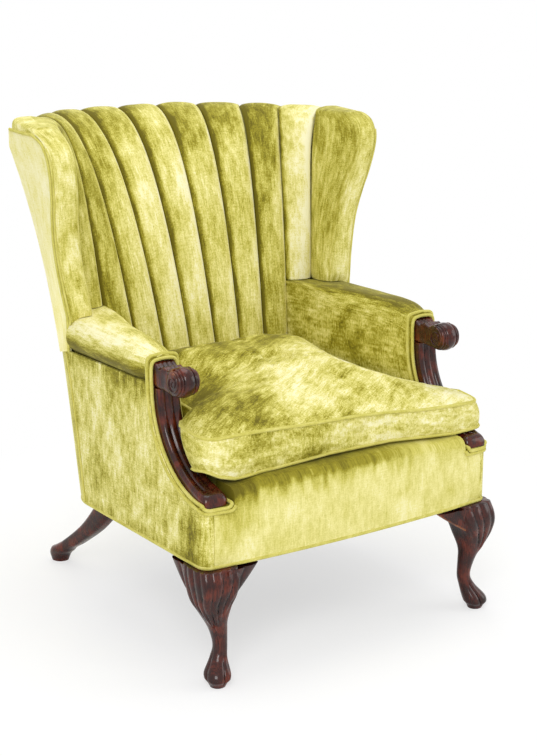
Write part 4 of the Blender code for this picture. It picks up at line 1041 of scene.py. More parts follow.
@dataclass(frozen=True)
class Wing:
    """A flared wing: padded inner cover with a blunt front border, and an outer panel with a welt."""

    side: Side
    foot_x: float = 0.3455
    flare: float = 0.146
    overhang: float = 0.010
    front_y: float = 0.072
    thickness: float = 0.053
    nose: float = 0.015
    nose_power: float = 2.8
    top_z: float = 0.972
    plump: float = 0.009
    round_top: float = 0.015
    rear_rise: float = 0.014
    squareness: float = 4.5
    rear_fit: float = 0.0035
    top_fit: float = 0.010
    panel_rise: float = 0.005
    lap: float = 0.0055
    board: float = 0.018
    board_clear: float = 0.0018
    least_nose: float = 0.006
    rear_tuck: float = 0.03
    front_tuck: float = 0.0016
    panel_puff: float = 0.0018
    welt_radius: float = 0.0030
    border_welt_radius: float = 0.0022
    rear_welt_radius: float = 0.0046
    # How far the welts lie off the panel's edges, and how far short of its top they stop
    welt_off: Triple = (0.0014, -0.0012, 0.0)
    top_off: Triple = (0.0012, 0.0, 0.0010)
    border_off: Triple = (0.0004, -0.0092, 0.0)
    rear_off: Triple = (-0.0070, 0.0010, 0.0)
    welt_stop: float = 0.012
    border_stop: float = 0.020
    # Ends of the board inside the panel, and its clearance there
    core_foot: float = 0.004
    core_head: float = 0.006
    core_clear: float = 0.0008
    # Height above the arm and backward offset along the front edge
    edge: Table = (
        (0.000, -0.003), (0.070, 0.004), (0.140, 0.004), (0.200, -0.009), (0.240, -0.022),
        (0.290, -0.032), (0.325, -0.029), (0.350, -0.011), (0.369, 0.030))

    @property
    def cap_z(self) -> float:
        """Height where the top starts to round over."""
        return self.top_z - self.round_top

    @cache
    def edge_curve(self) -> np.ndarray:
        """The front edge as a fine line."""
        return through(self.edge, 65)

    def front(self, z: float) -> float:
        """Depth of the wing's front at a height."""
        curve = self.edge_curve()
        return self.front_y + float(np.interp(z - BASE.arm_top, curve[:, 0], curve[:, 1]))

    @cache
    def corners(self, z: float) -> tuple[Vector, Vector, Vector, Vector]:
        """Plan corners of the wing at a height.

        Args:
            z: Height.

        Returns:
            Inner rear, inner front, outer rear and outer front.
        """
        seam = FAN.column(1.0)
        inner_rear = seam.at(seam.t_at(min(z, FAN.seat_level + seam.rise)))[0]
        outer_rear = FAN.outside(1.0, min(z, seam.over(pi)[0].z)) + Vector((self.overhang, 0, 0))
        middle = self.front(z) + self.nose
        face = self.foot_x + self.flare * max(0.0, min(z, self.cap_z) - BASE.arm_top)
        outer_front = Vector((face, min(middle, outer_rear.y - self.least_nose), z))
        inner_front = Vector((face - self.thickness, min(middle, inner_rear.y - self.least_nose), z))
        inner_rear.z = outer_rear.z = z
        return inner_rear, inner_front, outer_rear, outer_front

    def face(self, z: float, share: float, lap: float = 0.0) -> Vector:
        """Point across the outer face.

        Args:
            z: Height.
            share: 0 at the rear, 1 at the front.
            lap: How far the cloth laps beyond the rear.

        Returns:
            The point.
        """
        _, _, outer_rear, outer_front = self.corners(z)
        rear = outer_rear + Vector((0, -self.rear_fit, 0))
        front = outer_front + Vector((0, self.front_tuck, 0))
        start = min(-lap / max((front - rear).length, self.top_fit), 0.3)
        return rear.lerp(front, mix(start, 1.0, share))

    def rest(self, x: float) -> float:
        """Height of the arm's top under the wing at x."""
        past = max(0.0, x - (BASE.half_width + ARM.overhang - BASE.arm_roll))
        return BASE.roll_z + sqrt(max(BASE.arm_roll ** 2 - past ** 2, 0.0)) + REST

    def pad(self) -> None:
        """Wrap the padded inner cover round the front border and over the top."""
        low = BASE.arm_top + REST
        hollow = BASE.panel + self.board + self.board_clear
        body, shelf = 0.84, 0.85
        inner_end, nose_end, outer_end = 40 / 96, 68 / 96, 88 / 96

        def place(turn: float, along: float) -> Vector:
            """Point on the pad, round from its rear seam."""
            lift, squeeze, cut = 0.0, 1.0, hollow
            z = mix(low, self.cap_z, min(along / body, 1.0))
            if along > body:
                cut = hollow * (1 - ease(along, body, shelf))
            if along > shelf:
                lift = sin(pi / 2 * (along - shelf) / (1 - shelf))
                squeeze = max(0.0, 1 - lift ** self.squareness) ** (1 / self.squareness)
                z = self.cap_z + self.round_top * lift
            tuck = 1 - ease(along, 0.0, 0.035)
            inner_rear, inner_front, outer_rear, outer_front = self.corners(round(z, 6))
            middle_front = (inner_front + outer_front) / 2
            middle_rear = (inner_rear + outer_rear) / 2
            squeeze *= 1 - 0.05 * tuck * tuck
            inner_rear = middle_rear.lerp(inner_rear, squeeze)
            outer_rear = middle_rear.lerp(outer_rear, squeeze)
            inner_front = middle_front.lerp(inner_front, squeeze)
            outer_front = middle_front.lerp(outer_front, squeeze)
            rise = self.rear_rise * lift
            fit = (self.rear_fit + (self.top_fit if along > body else 0.0)) * squeeze
            drop = mix(1.0, 0.6, squeeze)
            if turn <= inner_end:
                share = turn / inner_end
                point = inner_rear.lerp(inner_front, mix(self.rear_tuck * squeeze, 1.0, share))
                point.x -= self.plump * sin(pi * share) ** 0.7 * squeeze
                point.z = z + drop * rise * (1 - share)
                point.x += UNEVEN * squeeze * wander(point, 0.06, 3.0)
            elif turn <= nose_end:
                angle = pi * (turn - inner_end) / (nose_end - inner_end)
                nose = max(self.least_nose, middle_front.y - self.front(z)) * (1 - 0.3 * tuck)
                flat = 2 / self.nose_power
                sideways = copysign(abs(cos(angle)) ** flat, cos(angle))
                point = middle_front - (outer_front - inner_front) / 2 * sideways
                point.y -= nose * sin(angle) ** flat if 0 < angle < pi else 0.0
                point.z = z
                point.y += UNEVEN * wander(point, 0.05, 5.0)
            elif turn <= outer_end:
                share = (turn - nose_end) / (outer_end - nose_end)
                point = outer_front.lerp(outer_rear + Vector((0, -fit, 0)), share)
                point.x -= cut
                point.z = z + rise * share
            else:
                share = (turn - outer_end) / (1 - outer_end)
                start = outer_rear + Vector((-cut, -fit, 0))
                end = inner_rear.lerp(inner_front, self.rear_tuck * squeeze)
                start.z = z + rise
                end.z = z + drop * rise
                point = start.lerp(end, share)
            point.z += (self.rest(point.x) - low) * (1 - ease(along, 0.0, 0.10))
            return self.side.turn(point)

        def nap(turn: float, along: float) -> float:
            """Painted shade inside the right wing, most towards its top, and painted light round the border
            of the left wing, which is mottled and darker low down.
            """
            inside = 1 - ease(turn, inner_end, inner_end + 0.15)
            if self.side is Side.RIGHT:
                return -0.2 * inside + 0.15 * (1 - inside) - 0.35 * ease(along, 0.5, 0.9)
            mottle = 0.4 * wander(Vector((14 * turn, 16 * along, 0)), 1.0, 7.0)
            low_deep = -0.5 * (1 - ease(along, 0.05, 0.45)) * ease(turn, 0.55, 0.68)
            return -0.1 * inside + (0.12 + mottle) * (1 - inside) + low_deep

        bm = skin(96, 84, place, (0.42, 0.42), nap)
        keep(bm, f"wing_cover_{self.side.word}", VELVET, [f"wing_pad_{self.side.word}"])

    def panel(self) -> None:
        """Stretch the outer panel, from under the arm roll to the top border, with a welt round it."""
        low, high = BASE.panel_top + SEAM, self.cap_z - SEAM
        word = self.side.word

        def face(across: float, along: float, out: float) -> Vector:
            """Point on the panel's face or lining."""
            top = high + self.panel_rise * (1 - across) ** 2
            point = self.face(round(mix(low, top, along), 6), across, self.lap)
            puff = self.panel_puff * sin(pi * across) * sin(pi * along) ** 0.5
            point.x += mix(0.0004 - BASE.panel, puff, out)
            return self.side.turn(point)

        def front_edge(first: float, last: float, off: Vector) -> list[Vector]:
            """Points up the face's front edge between two heights, moved by an offset."""
            return [self.face(round(float(z), 6), 1.0) + off for z in np.linspace(first, last, 30)]

        def sew(name: str, rows: list[Vector], count: int, radius: float) -> None:
            """Sew a welt along points of the right-hand wing."""
            route = smooth_route([self.side.turn(p) for p in rows], count)
            keep(tube(route, radius), f"{name}_{word}", WELT)

        # The left outer panel is painted paler than the right one: painted light on the lit side
        bm = slab(20, 50, face, (0.15, 0.45), lambda s, t: 0.62 if self.side is Side.LEFT else 0.1)
        keep(bm, f"wing_outer_cover_{word}", CALM_VELVET, [f"outer_wing_{word}"])
        rows = front_edge(low, high - self.welt_stop, Vector(self.welt_off))
        for share in np.linspace(0.90, 0.02, 10):
            top = high + self.panel_rise * (1 - float(share)) ** 2
            rows.append(self.face(round(top, 6), float(share)) + Vector(self.top_off))
        sew("wing_welt", rows, 110, self.welt_radius)
        rows = front_edge(BASE.arm_top - self.welt_stop, high - self.border_stop, Vector(self.border_off))
        sew("wing_border_welt", rows, 90, self.border_welt_radius)
        rows = [self.corners(round(float(z), 6))[2] + Vector(self.rear_off)
                for z in np.linspace(low, high, 24)]
        sew("wing_rear_welt", rows, 80, self.rear_welt_radius)

    def core(self) -> None:
        """Set the board that carries the wing between its pad and its outer panel."""
        low, high = BASE.panel_top + self.core_foot, self.cap_z - self.core_head

        def face(across: float, along: float, out: float) -> Vector:
            """Point on the board's outer or inner face."""
            point = self.face(round(mix(low, high, along), 6), mix(0.05, 0.96, across))
            point.x -= BASE.panel + mix(self.board, self.core_clear, out)
            return self.side.turn(point)

        word = self.side.word
        keep(slab(12, 30, face, (0.15, 0.4)), f"wing_core_{word}", BEECH, [f"wing_board_{word}"])

    def build(self) -> None:
        """Build the wing."""
        self.pad()
        self.panel()
        self.core()


WINGS = {Side.LEFT: Wing(Side.LEFT, top_z=0.976),
         Side.RIGHT: Wing(Side.RIGHT, top_z=0.968, rear_rise=0.006)}


# Arms


@dataclass(frozen=True)
class Arm:
    """A padded arm with a rolled top, a flat outer panel and double welts round the carved front."""

    inner_front: float = 0.2775
    inner_rear: float = 0.228
    pad_bottom: float = 0.355
    overhang: float = 0.012
    droop: float = 0.016
    droop_length: float = 0.090
    rail_outer: float = 0.334
    rail_inner: float = 0.302
    cord_radius: float = 0.0034
    cord_apart: float = 0.006325
    cover_steps: int = 84
    panel_puff: float = 0.0022
    back_tuck: float = 0.012
    wrap_drop: float = 0.004
    crest: float = 0.049
    band: float = 0.0012
    # Stretch behind the front over which the roll swells out, and depths of the two welts
    draw_in: Pair = (0.002, 0.055)
    welt_back: Pair = (-0.0040, 0.0045)

    def inner(self, y: float) -> float:
        """Inner face of the arm: the seat narrows towards the back."""
        share = (y - BASE.arm_front_y) / (BASE.seat_back_y - BASE.arm_front_y)
        return mix(self.inner_front, self.inner_rear, clamp(share))

    @cache
    def section(self, y: float) -> np.ndarray:
        """Closed section of the pad, from the inside foot round.

        Args:
            y: Depth of the section.

        Returns:
            Fine x, z pairs.
        """
        inner = self.inner(y)
        top = BASE.arm_top - self.droop * max(0.0, 1 - (y - BASE.arm_front_y) / self.droop_length) ** 2
        drawn = ease(y - BASE.arm_front_y, *self.draw_in)
        roll_x = BASE.half_width + self.overhang * drawn - BASE.arm_roll
        under = BASE.roll_z - BASE.arm_roll + SEAM
        soft = mix(1.0, 0.25, ease(y, -0.04, 0.06))
        rows = [(inner + 0.002, self.pad_bottom), (inner - 0.001, 0.42), (inner - 0.002, 0.49),
                (inner - 0.001, top - 0.045), (inner + 0.003 * soft, top - 0.020 * soft),
                (inner + 0.014 * soft, top - 0.006 * soft), (inner + 0.032, top - 0.0005)]
        for degrees in (75, 50, 25, 0, -20, -40, -60):
            turn = radians(degrees)
            rise = BASE.arm_roll * sin(turn) * (1 if turn < 0 else (top - BASE.roll_z) / BASE.arm_roll)
            rows.append((roll_x + BASE.arm_roll * cos(turn), BASE.roll_z + rise))
        cover = through(rows, self.cover_steps)
        tail = [(self.rail_outer - 0.0005, under + 0.0005)]
        tail += [(self.rail_inner - SEAM, float(z)) for z in np.linspace(under, self.pad_bottom, 16)]
        return np.vstack((cover, tail, cover[:1]))

    def pad(self, side: Side) -> None:
        """Wrap the arm's cover up the inside, over the top and round the outer roll.

        Args:
            side: Which arm.
        """
        heights = (BASE.panel_top, BASE.roll_z, BASE.arm_top)
        roll_end = min(WINGS[side].corners(z)[3].y for z in heights) - SEAM
        back = BASE.seat_back_y + self.back_tuck
        close = 0.05
        columns = len(self.section(0.0)) - 1

        def place(turn: float, along: float) -> Vector:
            """Point on the pad, round its section, from the front face to the wing."""
            run = max(0.0, (along - close) / (1 - close))
            guide = mix(BASE.arm_front_y, roll_end, run)
            x, z = walk(self.section(round(guide, 5)), turn)
            outer = ease(x, 0.300, 0.325)
            end = mix(back - 0.45 * (x - self.inner_rear), roll_end, outer)
            start = BASE.arm_front(z)
            y = mix(start, end, run)
            x = walk(self.section(round(mix(BASE.arm_front_y, end, run), 5)), turn)[0]
            if along < close:
                x = mix(BASE.post_x, x, (along / close) ** 0.5)
                y += 0.0015 * (1 - along / close)
            point = Vector((x, y, z))
            if 0.31 < turn * columns / self.cover_steps < 0.94:
                point.z += UNEVEN * wander(point, 0.05, 2.0)
            return side.turn(point)

        def nap(turn: float, along: float) -> float:
            """Painted light along the top of the left arm and painted shade round its roll; the right arm is
            painted darker over its inside and top.
            """
            turn *= columns / self.cover_steps
            top = ease(turn, 0.40, 0.56) * (1 - ease(turn, 0.64, 0.78))
            low = ease(turn, 0.70, 0.86)
            if side is Side.LEFT:
                return 0.85 * top * (0.4 + 0.6 * ease(along, 0.0, 0.25)) - 1.0 * low - 0.1
            return -0.75 * ease(turn, 0.27, 0.42) * (1 - ease(turn, 0.63, 0.73)) - 0.2

        bm = skin(columns, 56, place, (0.46, 0.34), nap)
        keep(bm, f"arm_cover_{side.word}", MOTTLED_VELVET, [f"arm_pad_{side.word}"])

    def panel(self, side: Side) -> None:
        """Stretch the outer panel from the crease under the roll down to the hem and round the corner.

        Args:
            side: Which arm.
        """
        low, wrap, bend = BASE.hem_z + BASE.cover_lift, BASE.rail_top - self.wrap_drop, 0.16
        heights = list(np.linspace(low, wrap, 16)) + list(np.linspace(wrap + 0.0004, BASE.panel_top, 34))

        def outer(z: float, share: float) -> Vector:
            """Point on the outer face: share 0 at the front, 1 at the rear."""
            start, run = BASE.front_y + BASE.corner, share
            if z > wrap:
                start = max(BASE.arm_front(z), start)
            elif share < bend:
                turn = radians(-90 + 90 * share / bend)
                return Vector((BASE.half_width - BASE.corner + BASE.corner * cos(turn),
                               start + BASE.corner * sin(turn), z))
            else:
                run = (share - bend) / (1 - bend)
            rear = FAN.outside(1.0, z)
            return Vector((BASE.half_width, start, z)).lerp(Vector((rear.x, rear.y - SEAM, z)), run)

        def face(across: float, along: float, out: float) -> Vector:
            """Point on the panel's face or lining."""
            z = float(heights[round(along * (len(heights) - 1))])
            point = outer(z, across)
            if z <= wrap and across < bend:
                centre = Vector((BASE.half_width - BASE.corner, BASE.front_y + BASE.corner, z))
                return side.turn(centre + (point - centre) * mix(1 - BASE.panel / BASE.corner, 1.0, out))
            middle = ease(point.y, -0.37, -0.22) * (1 - ease(point.y, -0.02, 0.04))
            puff = self.panel_puff * sin(pi * along) ** 0.5 * middle
            point.x += mix(-BASE.panel, puff, out)
            return side.turn(point)

        def nap(across: float, along: float) -> float:
            """Mottled, with painted shade along the crease under the roll, darker below its middle, beside
            the front corner low down and along the hem; the left arm's panel is painted paler.
            """
            spot = outer(float(heights[round(along * (len(heights) - 1))]), across)
            deep = -0.45 * ease(spot.z, 0.50, 0.535)
            deep -= 0.55 * hump(spot.y, -0.12, 0.07) * ease(spot.z, 0.44, 0.52)
            deep -= 0.6 * hump(spot.y, -0.345, 0.035) * (1 - ease(spot.z, 0.27, 0.38))
            deep -= 0.4 * (1 - ease(spot.z, 0.235, 0.262))
            return deep + (0.12 if side is Side.LEFT else 0.0)

        bm = slab(48, len(heights) - 1, face, (0.5, 0.32), nap)
        lay_weave(bm, lambda spot: (spot.y + abs(spot.x), spot.z))
        keep(bm, f"arm_outer_cover_{side.word}", MOTTLED_VELVET, [f"outer_arm_{side.word}"])

    def welt_route(self, side: Side, out: float, back: float) -> list[Vector]:
        """Route of a welt round the carved front, over the knuckle and under the post's foot.

        Args:
            side: Which arm.
            out: How far it lies beyond the wood's edge.
            back: How far it lies behind the post's rear face.

        Returns:
            A closed line of points.
        """
        reach = BASE.post_half + out
        crest = BASE.post_top + self.crest + out
        depth = BASE.arm_front_y + back
        outer_x, inner_x = min(BASE.post_x + reach, BASE.half_width + 0.0015), BASE.post_x - reach
        foot_z = BASE.rail_top - out

        def sweep(x: float, stop: float) -> list[Vector]:
            """Points up the sweep at x, from where it leaves the cover at depth stop."""
            offset = BASE.post_depth + back
            first = acos((stop - BASE.front_y) / (BASE.post_sweep + offset))
            return [Vector((x, *BASE.sweep(float(turn), offset))) for turn in np.linspace(first, 0, 12)]

        rows = sweep(outer_x, BASE.cover_front(outer_x - 0.0015) - 0.001)
        rows += [Vector((outer_x, depth, crest - 0.018)), Vector((outer_x - 0.004, depth, crest - 0.004)),
                 Vector((BASE.post_x + 0.010, depth, crest)), Vector((BASE.post_x - 0.010, depth, crest)),
                 Vector((inner_x + 0.004, depth, crest - 0.004)), Vector((inner_x, depth, crest - 0.018))]
        rows += sweep(inner_x, BASE.cover_front(inner_x))[::-1]
        for x, rise in ((inner_x + 0.0015, 0.004), (inner_x + 0.008, 0.0), (BASE.post_x, 0.0),
                        (outer_x - 0.016, 0.0), (outer_x - 0.007, 0.0005), (outer_x - 0.002, 0.004)):
            rows.append(Vector((x, BASE.cover_front(x) - 0.002, foot_z + rise)))
        return smooth_route([side.turn(p) for p in rows], 220, True)

    def welts(self, side: Side) -> None:
        """Sew the two cords and the flat band between them.

        Args:
            side: Which arm.
        """
        word = side.word
        inner = self.welt_route(side, self.cord_radius, self.welt_back[0])
        outer = self.welt_route(side, self.cord_radius + self.cord_apart, self.welt_back[1])
        for name, route, nodes in (("inner", inner, [f"arm_cord_{word}"]), ("outer", outer, [])):
            keep(tube(route, self.cord_radius, closed=True), f"post_welt_{name}_{word}", WELT, nodes)

        def place(share: float, along: float) -> Vector:
            """Point on the band between the cords."""
            index = round(along * len(inner)) % len(inner)
            return inner[index].lerp(outer[index], share)

        # The band between the cords is painted dark: painted shade between the two cords
        band = skin(3, len(inner), place, (0.01, 1.2), lambda s, t: -0.8, capped=False)
        bmesh.ops.solidify(band, geom=list(band.faces), thickness=self.band)
        keep(band, f"post_welt_band_{word}", VELVET)

    def build(self) -> None:
        """Build both arms."""
        for side in Side:
            self.pad(side)
            self.panel(side)
            self.welts(side)


ARM = Arm()


# Seat


@dataclass(frozen=True)
class SeatFront:
    """The front panel rolled over the sprung edge, the hem cord and the platform under the cushion."""

    edge_roll: float = 0.060
    roll_radius: float = 0.020
    inner: float = 0.2769
    roll_end: float = 0.266
    corner_radius: float = 0.006
    edge_drop: float = 0.0015
    right_press: float = 0.011
    left_press: float = 0.007
    face_bow: float = 0.0015
    rebate: float = 0.0097
    hem_radius: float = 0.0042
    hem_inset: float = 0.0026
    platform_edge: float = 0.005

    def edge_top(self, x: float) -> float:
        """Height of the rolled front edge at x: pressed down towards its ends, most on the right."""
        pressed = self.right_press * ease(x, 0.08, 0.25) + self.left_press * ease(-x, 0.19, 0.26)
        return BASE.deck_top - self.edge_drop - pressed

    def apron(self) -> None:
        """Roll the front panel over the edge of the platform."""
        edge = BASE.half_width - BASE.corner - SEAM
        low, ledge = BASE.hem_z + BASE.cover_lift, BASE.rail_top + SEAM / 2
        back_y = BASE.front_y + self.rebate
        ends = [self.inner - 0.002, self.inner, BASE.front_run, edge]
        xs = [-x for x in ends[::-1]] + list(np.linspace(-self.roll_end, self.roll_end, 61)) + ends

        @cache
        def section(index: int) -> np.ndarray:
            """Section of the panel at one of the stations across it, as x, y, z rows."""
            x = float(xs[index])
            raised = abs(x) < self.inner - 0.001
            top = self.edge_top(x) if raised else ledge
            radius = self.roll_radius if raised else self.corner_radius
            face_y = BASE.front_y - BASE.front_bow(x)
            rows = []
            for share in np.linspace(0, 1, 21):
                rows.append((x, face_y - self.face_bow * sin(pi * share), mix(low, top - radius, share)))
            for turn in np.linspace(0, pi / 2, 13)[1:]:
                rows.append((x, face_y + radius * (1 - cos(turn)), top - radius * (1 - sin(turn))))
            back = BASE.front_y + self.edge_roll if raised else back_y
            rows.append((x, mix(rows[-1][1], back, 0.5), top + (0.001 if raised else 0)))
            rows += [(x, back, top), (x, back, ledge if raised else top)]
            rows += [(x, back_y, ledge), (x, back_y, low)]
            return np.array(rows + rows[:1])

        def place(turn: float, along: float) -> Vector:
            """Point on the panel, round its section."""
            return Vector(walk(section(round(along * (len(xs) - 1))), turn))

        def nap(turn: float, along: float) -> float:
            """Dark under the cushion, most on the left, partly the pile's lie and partly painted shadow of
            the cushion; pale down the face and where the grid closes.
            """
            turn = 0.0 if turn > 0.95 else turn
            streak = wander(Vector((70 * along, 3 * turn, 0)), 1.0, 3.0)
            high = ease(turn + 0.14 * streak, 0.40, 0.66)
            left = 1 - ease(along, 0.55, 0.80)
            corner = ease(along, 0.0, 0.05) * (1 - ease(along, 0.05, 0.16)) * ease(turn, 0.1, 0.35)
            return 0.28 - 1.1 * high * (0.30 + 0.70 * left) - 0.45 * corner

        bm = skin(38, len(xs) - 1, place, (0.28, 0.66), nap)
        lay_weave(bm, lambda spot: (spot.x, spot.z - spot.y))
        keep(bm, "apron_cover", CALM_VELVET, ["front_apron"])

    def hem(self) -> None:
        """Sew the cord along the bottom edge."""
        route = [Vector((p.x, p.y, BASE.hem_z + self.hem_radius)) for p in BASE.outline(self.hem_inset)]
        keep(tube(route, self.hem_radius, 24, closed=True), "hem_welt", WELT, ["hem_cord"])

    def platform(self, node: Object) -> None:
        """Cover the sprung platform with cloth, its edges softened.

        Args:
            node: The CAD solid of the platform.
        """
        bm = bmesh.new()
        bm.from_mesh(node.data)
        bmesh.ops.remove_doubles(bm, verts=bm.verts, dist=MERGE)
        bmesh.ops.dissolve_limit(bm, angle_limit=radians(2), verts=bm.verts, edges=bm.edges)
        bmesh.ops.bevel(bm, geom=list(bm.edges), offset=self.platform_edge, segments=3, profile=0.5,
                        affect="EDGES", material=-1)
        keep(bm, "platform_cover", TICKING, ["seat_deck"])

    def build(self, nodes: dict[str, Object]) -> None:
        """Build the seat's front, hem and platform.

        Args:
            nodes: The frame's objects by name.
        """
        self.apron()
        self.hem()
        self.platform(nodes["seat_deck"])


SEAT = SeatFront()


@dataclass(frozen=True)
class SeatCushion:
    """The loose boxed cushion: crowned, eared in front of the arm posts, with a welt on both edges."""

    front_y: float = -0.374
    rear_y: float = 0.1025
    half_front: float = 0.272
    half_rear: float = 0.214
    ear_left: float = 0.321
    ear_right: float = 0.350
    ear_gap: float = 0.004
    ear_step: float = 0.018
    ear_end: float = -0.285
    corner_power: float = 15.0
    boxing: float = 0.083
    crown: float = 0.056
    rear_swell: float = 0.010
    # Waves of the boxing, broad and small lumps of the crown, and pulls along its seam
    waves: float = 0.0018
    broad_lumps: float = 0.0035
    small_lumps: float = 0.0016
    seam_pulls: float = 0.0016
    # Push of the filling in the cloth simulation and the farthest that it may move the cover
    push: float = 3.0
    swell_cap: float = 0.009
    weave_turn: float = 62.0
    edge_scale: float = 0.985
    middle_scale: float = 0.01
    middle_hole: float = 0.022
    edge_draw: float = 0.012
    # Gaps over the platform, over a post's foot and under a welt
    floor_gap: float = 0.0008
    foot_gap: float = 0.003
    cord_gap: float = 0.0004
    # The upper seam away from the front: its rise, more at the rear, its fall on the right and its waves
    seam_rise: float = 0.007
    seam_rear: float = 0.014
    seam_right: float = 0.012
    seam_wave: float = 0.0012
    cord_radius: float = 0.0032
    count: int = 220
    rows: int = 100
    under: float = 0.16
    box: float = 0.42
    # Place across the front and height above the platform of the two seams there
    low_seam: Table = (
        (-0.317, 0.024), (-0.287, 0.008), (-0.254, -0.001), (-0.160, 0.003), (-0.045, 0.008), (0.105, 0.007),
        (0.228, -0.004), (0.330, -0.0120))
    high_seam: Table = (
        (-0.316, 0.0775), (-0.254, 0.0790), (-0.160, 0.0777), (-0.046, 0.0727), (0.103, 0.0637),
        (0.225, 0.0537), (0.330, 0.0460))

    def stop(self, z: float) -> float:
        """Depth where an ear ends at a height, just in front of the arm post's sweep."""
        drop = clamp((BASE.post_top - z) / BASE.post_rise)
        return BASE.front_y + BASE.post_sweep * sqrt(1 - drop * drop) - self.ear_gap

    def outline(self, turn: float, scale: float, z: float) -> Vector:
        """Plan point of the cushion.

        Args:
            turn: Share of a turn round it.
            scale: How far it is drawn in to the middle.
            z: Height, which sets where an ear ends.

        Returns:
            The point at height 0.
        """
        middle, half = (self.front_y + self.rear_y) / 2, (self.rear_y - self.front_y) / 2
        angle = 2 * pi * turn
        c, s = cos(angle), sin(angle)
        power = mix(self.corner_power, 4.0, 1 - ease(scale, 0.4, 1.0))
        radius = square_reach(angle, power)
        even = middle + radius * s * half
        # The same column of points turns the ear's rear corner at every height
        if even < self.ear_end:
            y = mix(self.front_y, self.stop(z), (even - self.front_y) / (self.ear_end - self.front_y))
        else:
            y = mix(self.stop(z), self.rear_y, (even - self.ear_end) / (self.rear_y - self.ear_end))
        ear = mix(self.half_front, self.ear_right if c > 0 else self.ear_left, ease(scale, 0.55, 0.95))
        body = mix(self.half_front, self.half_rear, (y - self.front_y) / (self.rear_y - self.front_y))
        width = mix(ear, body, ease(even, self.ear_end - self.ear_step, self.ear_end))
        reach = scale * (1 - self.edge_draw * (1 - abs(radius * c * radius * s)))
        return Vector((reach * radius * c * width, middle + reach * (y - middle), 0))

    def floor(self, x: float, y: float) -> float:
        """What the cushion rests on: the platform, its rolled front edge or a post's foot.

        Args:
            x: Place across.
            y: Depth.

        Returns:
            The lowest height there.
        """
        front = 1 - ease(y, -0.362, -0.330)
        inside = mix(BASE.deck_top, SEAT.edge_top(x), front) + self.floor_gap
        reach = clamp((y - BASE.front_y) / BASE.post_sweep, 0.0, 0.98)
        foot = BASE.post_top - BASE.post_rise * sqrt(1 - reach * reach) + self.foot_gap
        return mix(inside, max(foot, inside) if y > -0.33 else foot, ease(abs(x), 0.262, 0.282))

    def seam_low(self, x: float, y: float) -> float:
        """Lower seam: bowed along the front, resting elsewhere.

        Args:
            x: Place across.
            y: Depth.

        Returns:
            Its height.
        """
        front = 1 - ease(y, self.front_y + 0.01, self.front_y + 0.09)
        table = BASE.deck_top + float(np.interp(x, *zip(*self.low_seam)))
        rest = self.floor(x, y) + self.cord_radius + self.cord_gap
        return max(rest, mix(rest, table, front))

    def seam_high(self, x: float, y: float) -> float:
        """Upper seam: falling to the right along the front, lifted by the back.

        Args:
            x: Place across.
            y: Depth.

        Returns:
            Its height.
        """
        front = 1 - ease(y, self.front_y + 0.01, self.front_y + mix(0.12, 0.30, ease(x, 0.0, 0.2)))
        table = float(np.interp(x, *zip(*self.high_seam)))
        rest = self.boxing + self.seam_rise + self.seam_rear * ease(y, -0.05, 0.08)
        rest -= self.seam_right * ease(x, 0.05, 0.2)
        return BASE.deck_top + mix(rest, table, front) + self.seam_wave * sin(23 * x + 0.6) * front

    def surface(self, turn: float, level: float) -> Vector:
        """Point on the cushion.

        Args:
            turn: Share of a turn round it.
            level: 0 under its middle, 1 at the middle of its crown.

        Returns:
            The point.
        """
        share = clamp((level - self.under) / (self.box - self.under))
        rough = self.outline(turn, self.edge_scale, BASE.deck_top + mix(0.006, self.boxing + 0.006, share))
        nominal = mix(self.seam_low(rough.x, rough.y), self.seam_high(rough.x, rough.y), share)
        edge = self.outline(turn, self.edge_scale, nominal)
        low, high = self.seam_low(edge.x, edge.y), self.seam_high(edge.x, edge.y)
        if level <= self.under:
            share = level / self.under
            point = self.outline(turn, mix(0.05, self.edge_scale, share ** 0.6), nominal)
            point.z = mix(self.floor(point.x, point.y), low, ease(share, 0.85, 1.0))
            return point
        if level <= self.box:
            point = self.outline(turn, self.edge_scale + 0.020 * sin(pi * share) ** 0.8, nominal)
            point.z = mix(low, high, share)
            wave = wander(Vector((point.x, 0, point.z)), 0.035, 4.0)
            point.y += self.waves * wave * sin(pi * share)
            return point
        share = (level - self.box) / (1 - self.box)
        scale = self.edge_scale * (1 - share) + self.middle_scale
        point = self.outline(turn, scale, nominal)
        rest = 1 - scale / (self.edge_scale + self.middle_scale)
        dome = self.crown * (1 - (1 - rest) ** mix(2.8, 1.9, ease(point.x, 0.05, 0.25)))
        rear = self.rear_swell * ease(point.y, -0.20, 0.04) * ease(rest, 0.0, 0.25)
        point.z = mix(high, BASE.deck_top + self.boxing, ease(share, 0.0, 0.7)) + dome + rear
        lumps = self.broad_lumps * wander(Vector((point.x, point.y, 0)), 0.16, 1.0)
        lumps += self.small_lumps * wander(point, 0.05, 6.0)
        pull = wander(Vector((60 * turn, 3 * share, 0)), 1.0, 2.0) * (1 - ease(share, 0.05, 0.3))
        point.z += (lumps + self.seam_pulls * pull) * ease(share, 0.0, 0.1)
        return point

    def nap(self, turn: float, level: float) -> float:
        """Streaked, darker at the left front and the back of the top, pale across its middle.

        Args:
            turn: Share of a turn round it.
            level: 0 under its middle, 1 at the middle of its crown.

        Returns:
            How pale the cover is there.
        """
        point = self.surface(turn, level)
        if level <= self.box:
            front = 1 - ease(point.y, self.front_y, self.front_y + 0.05)
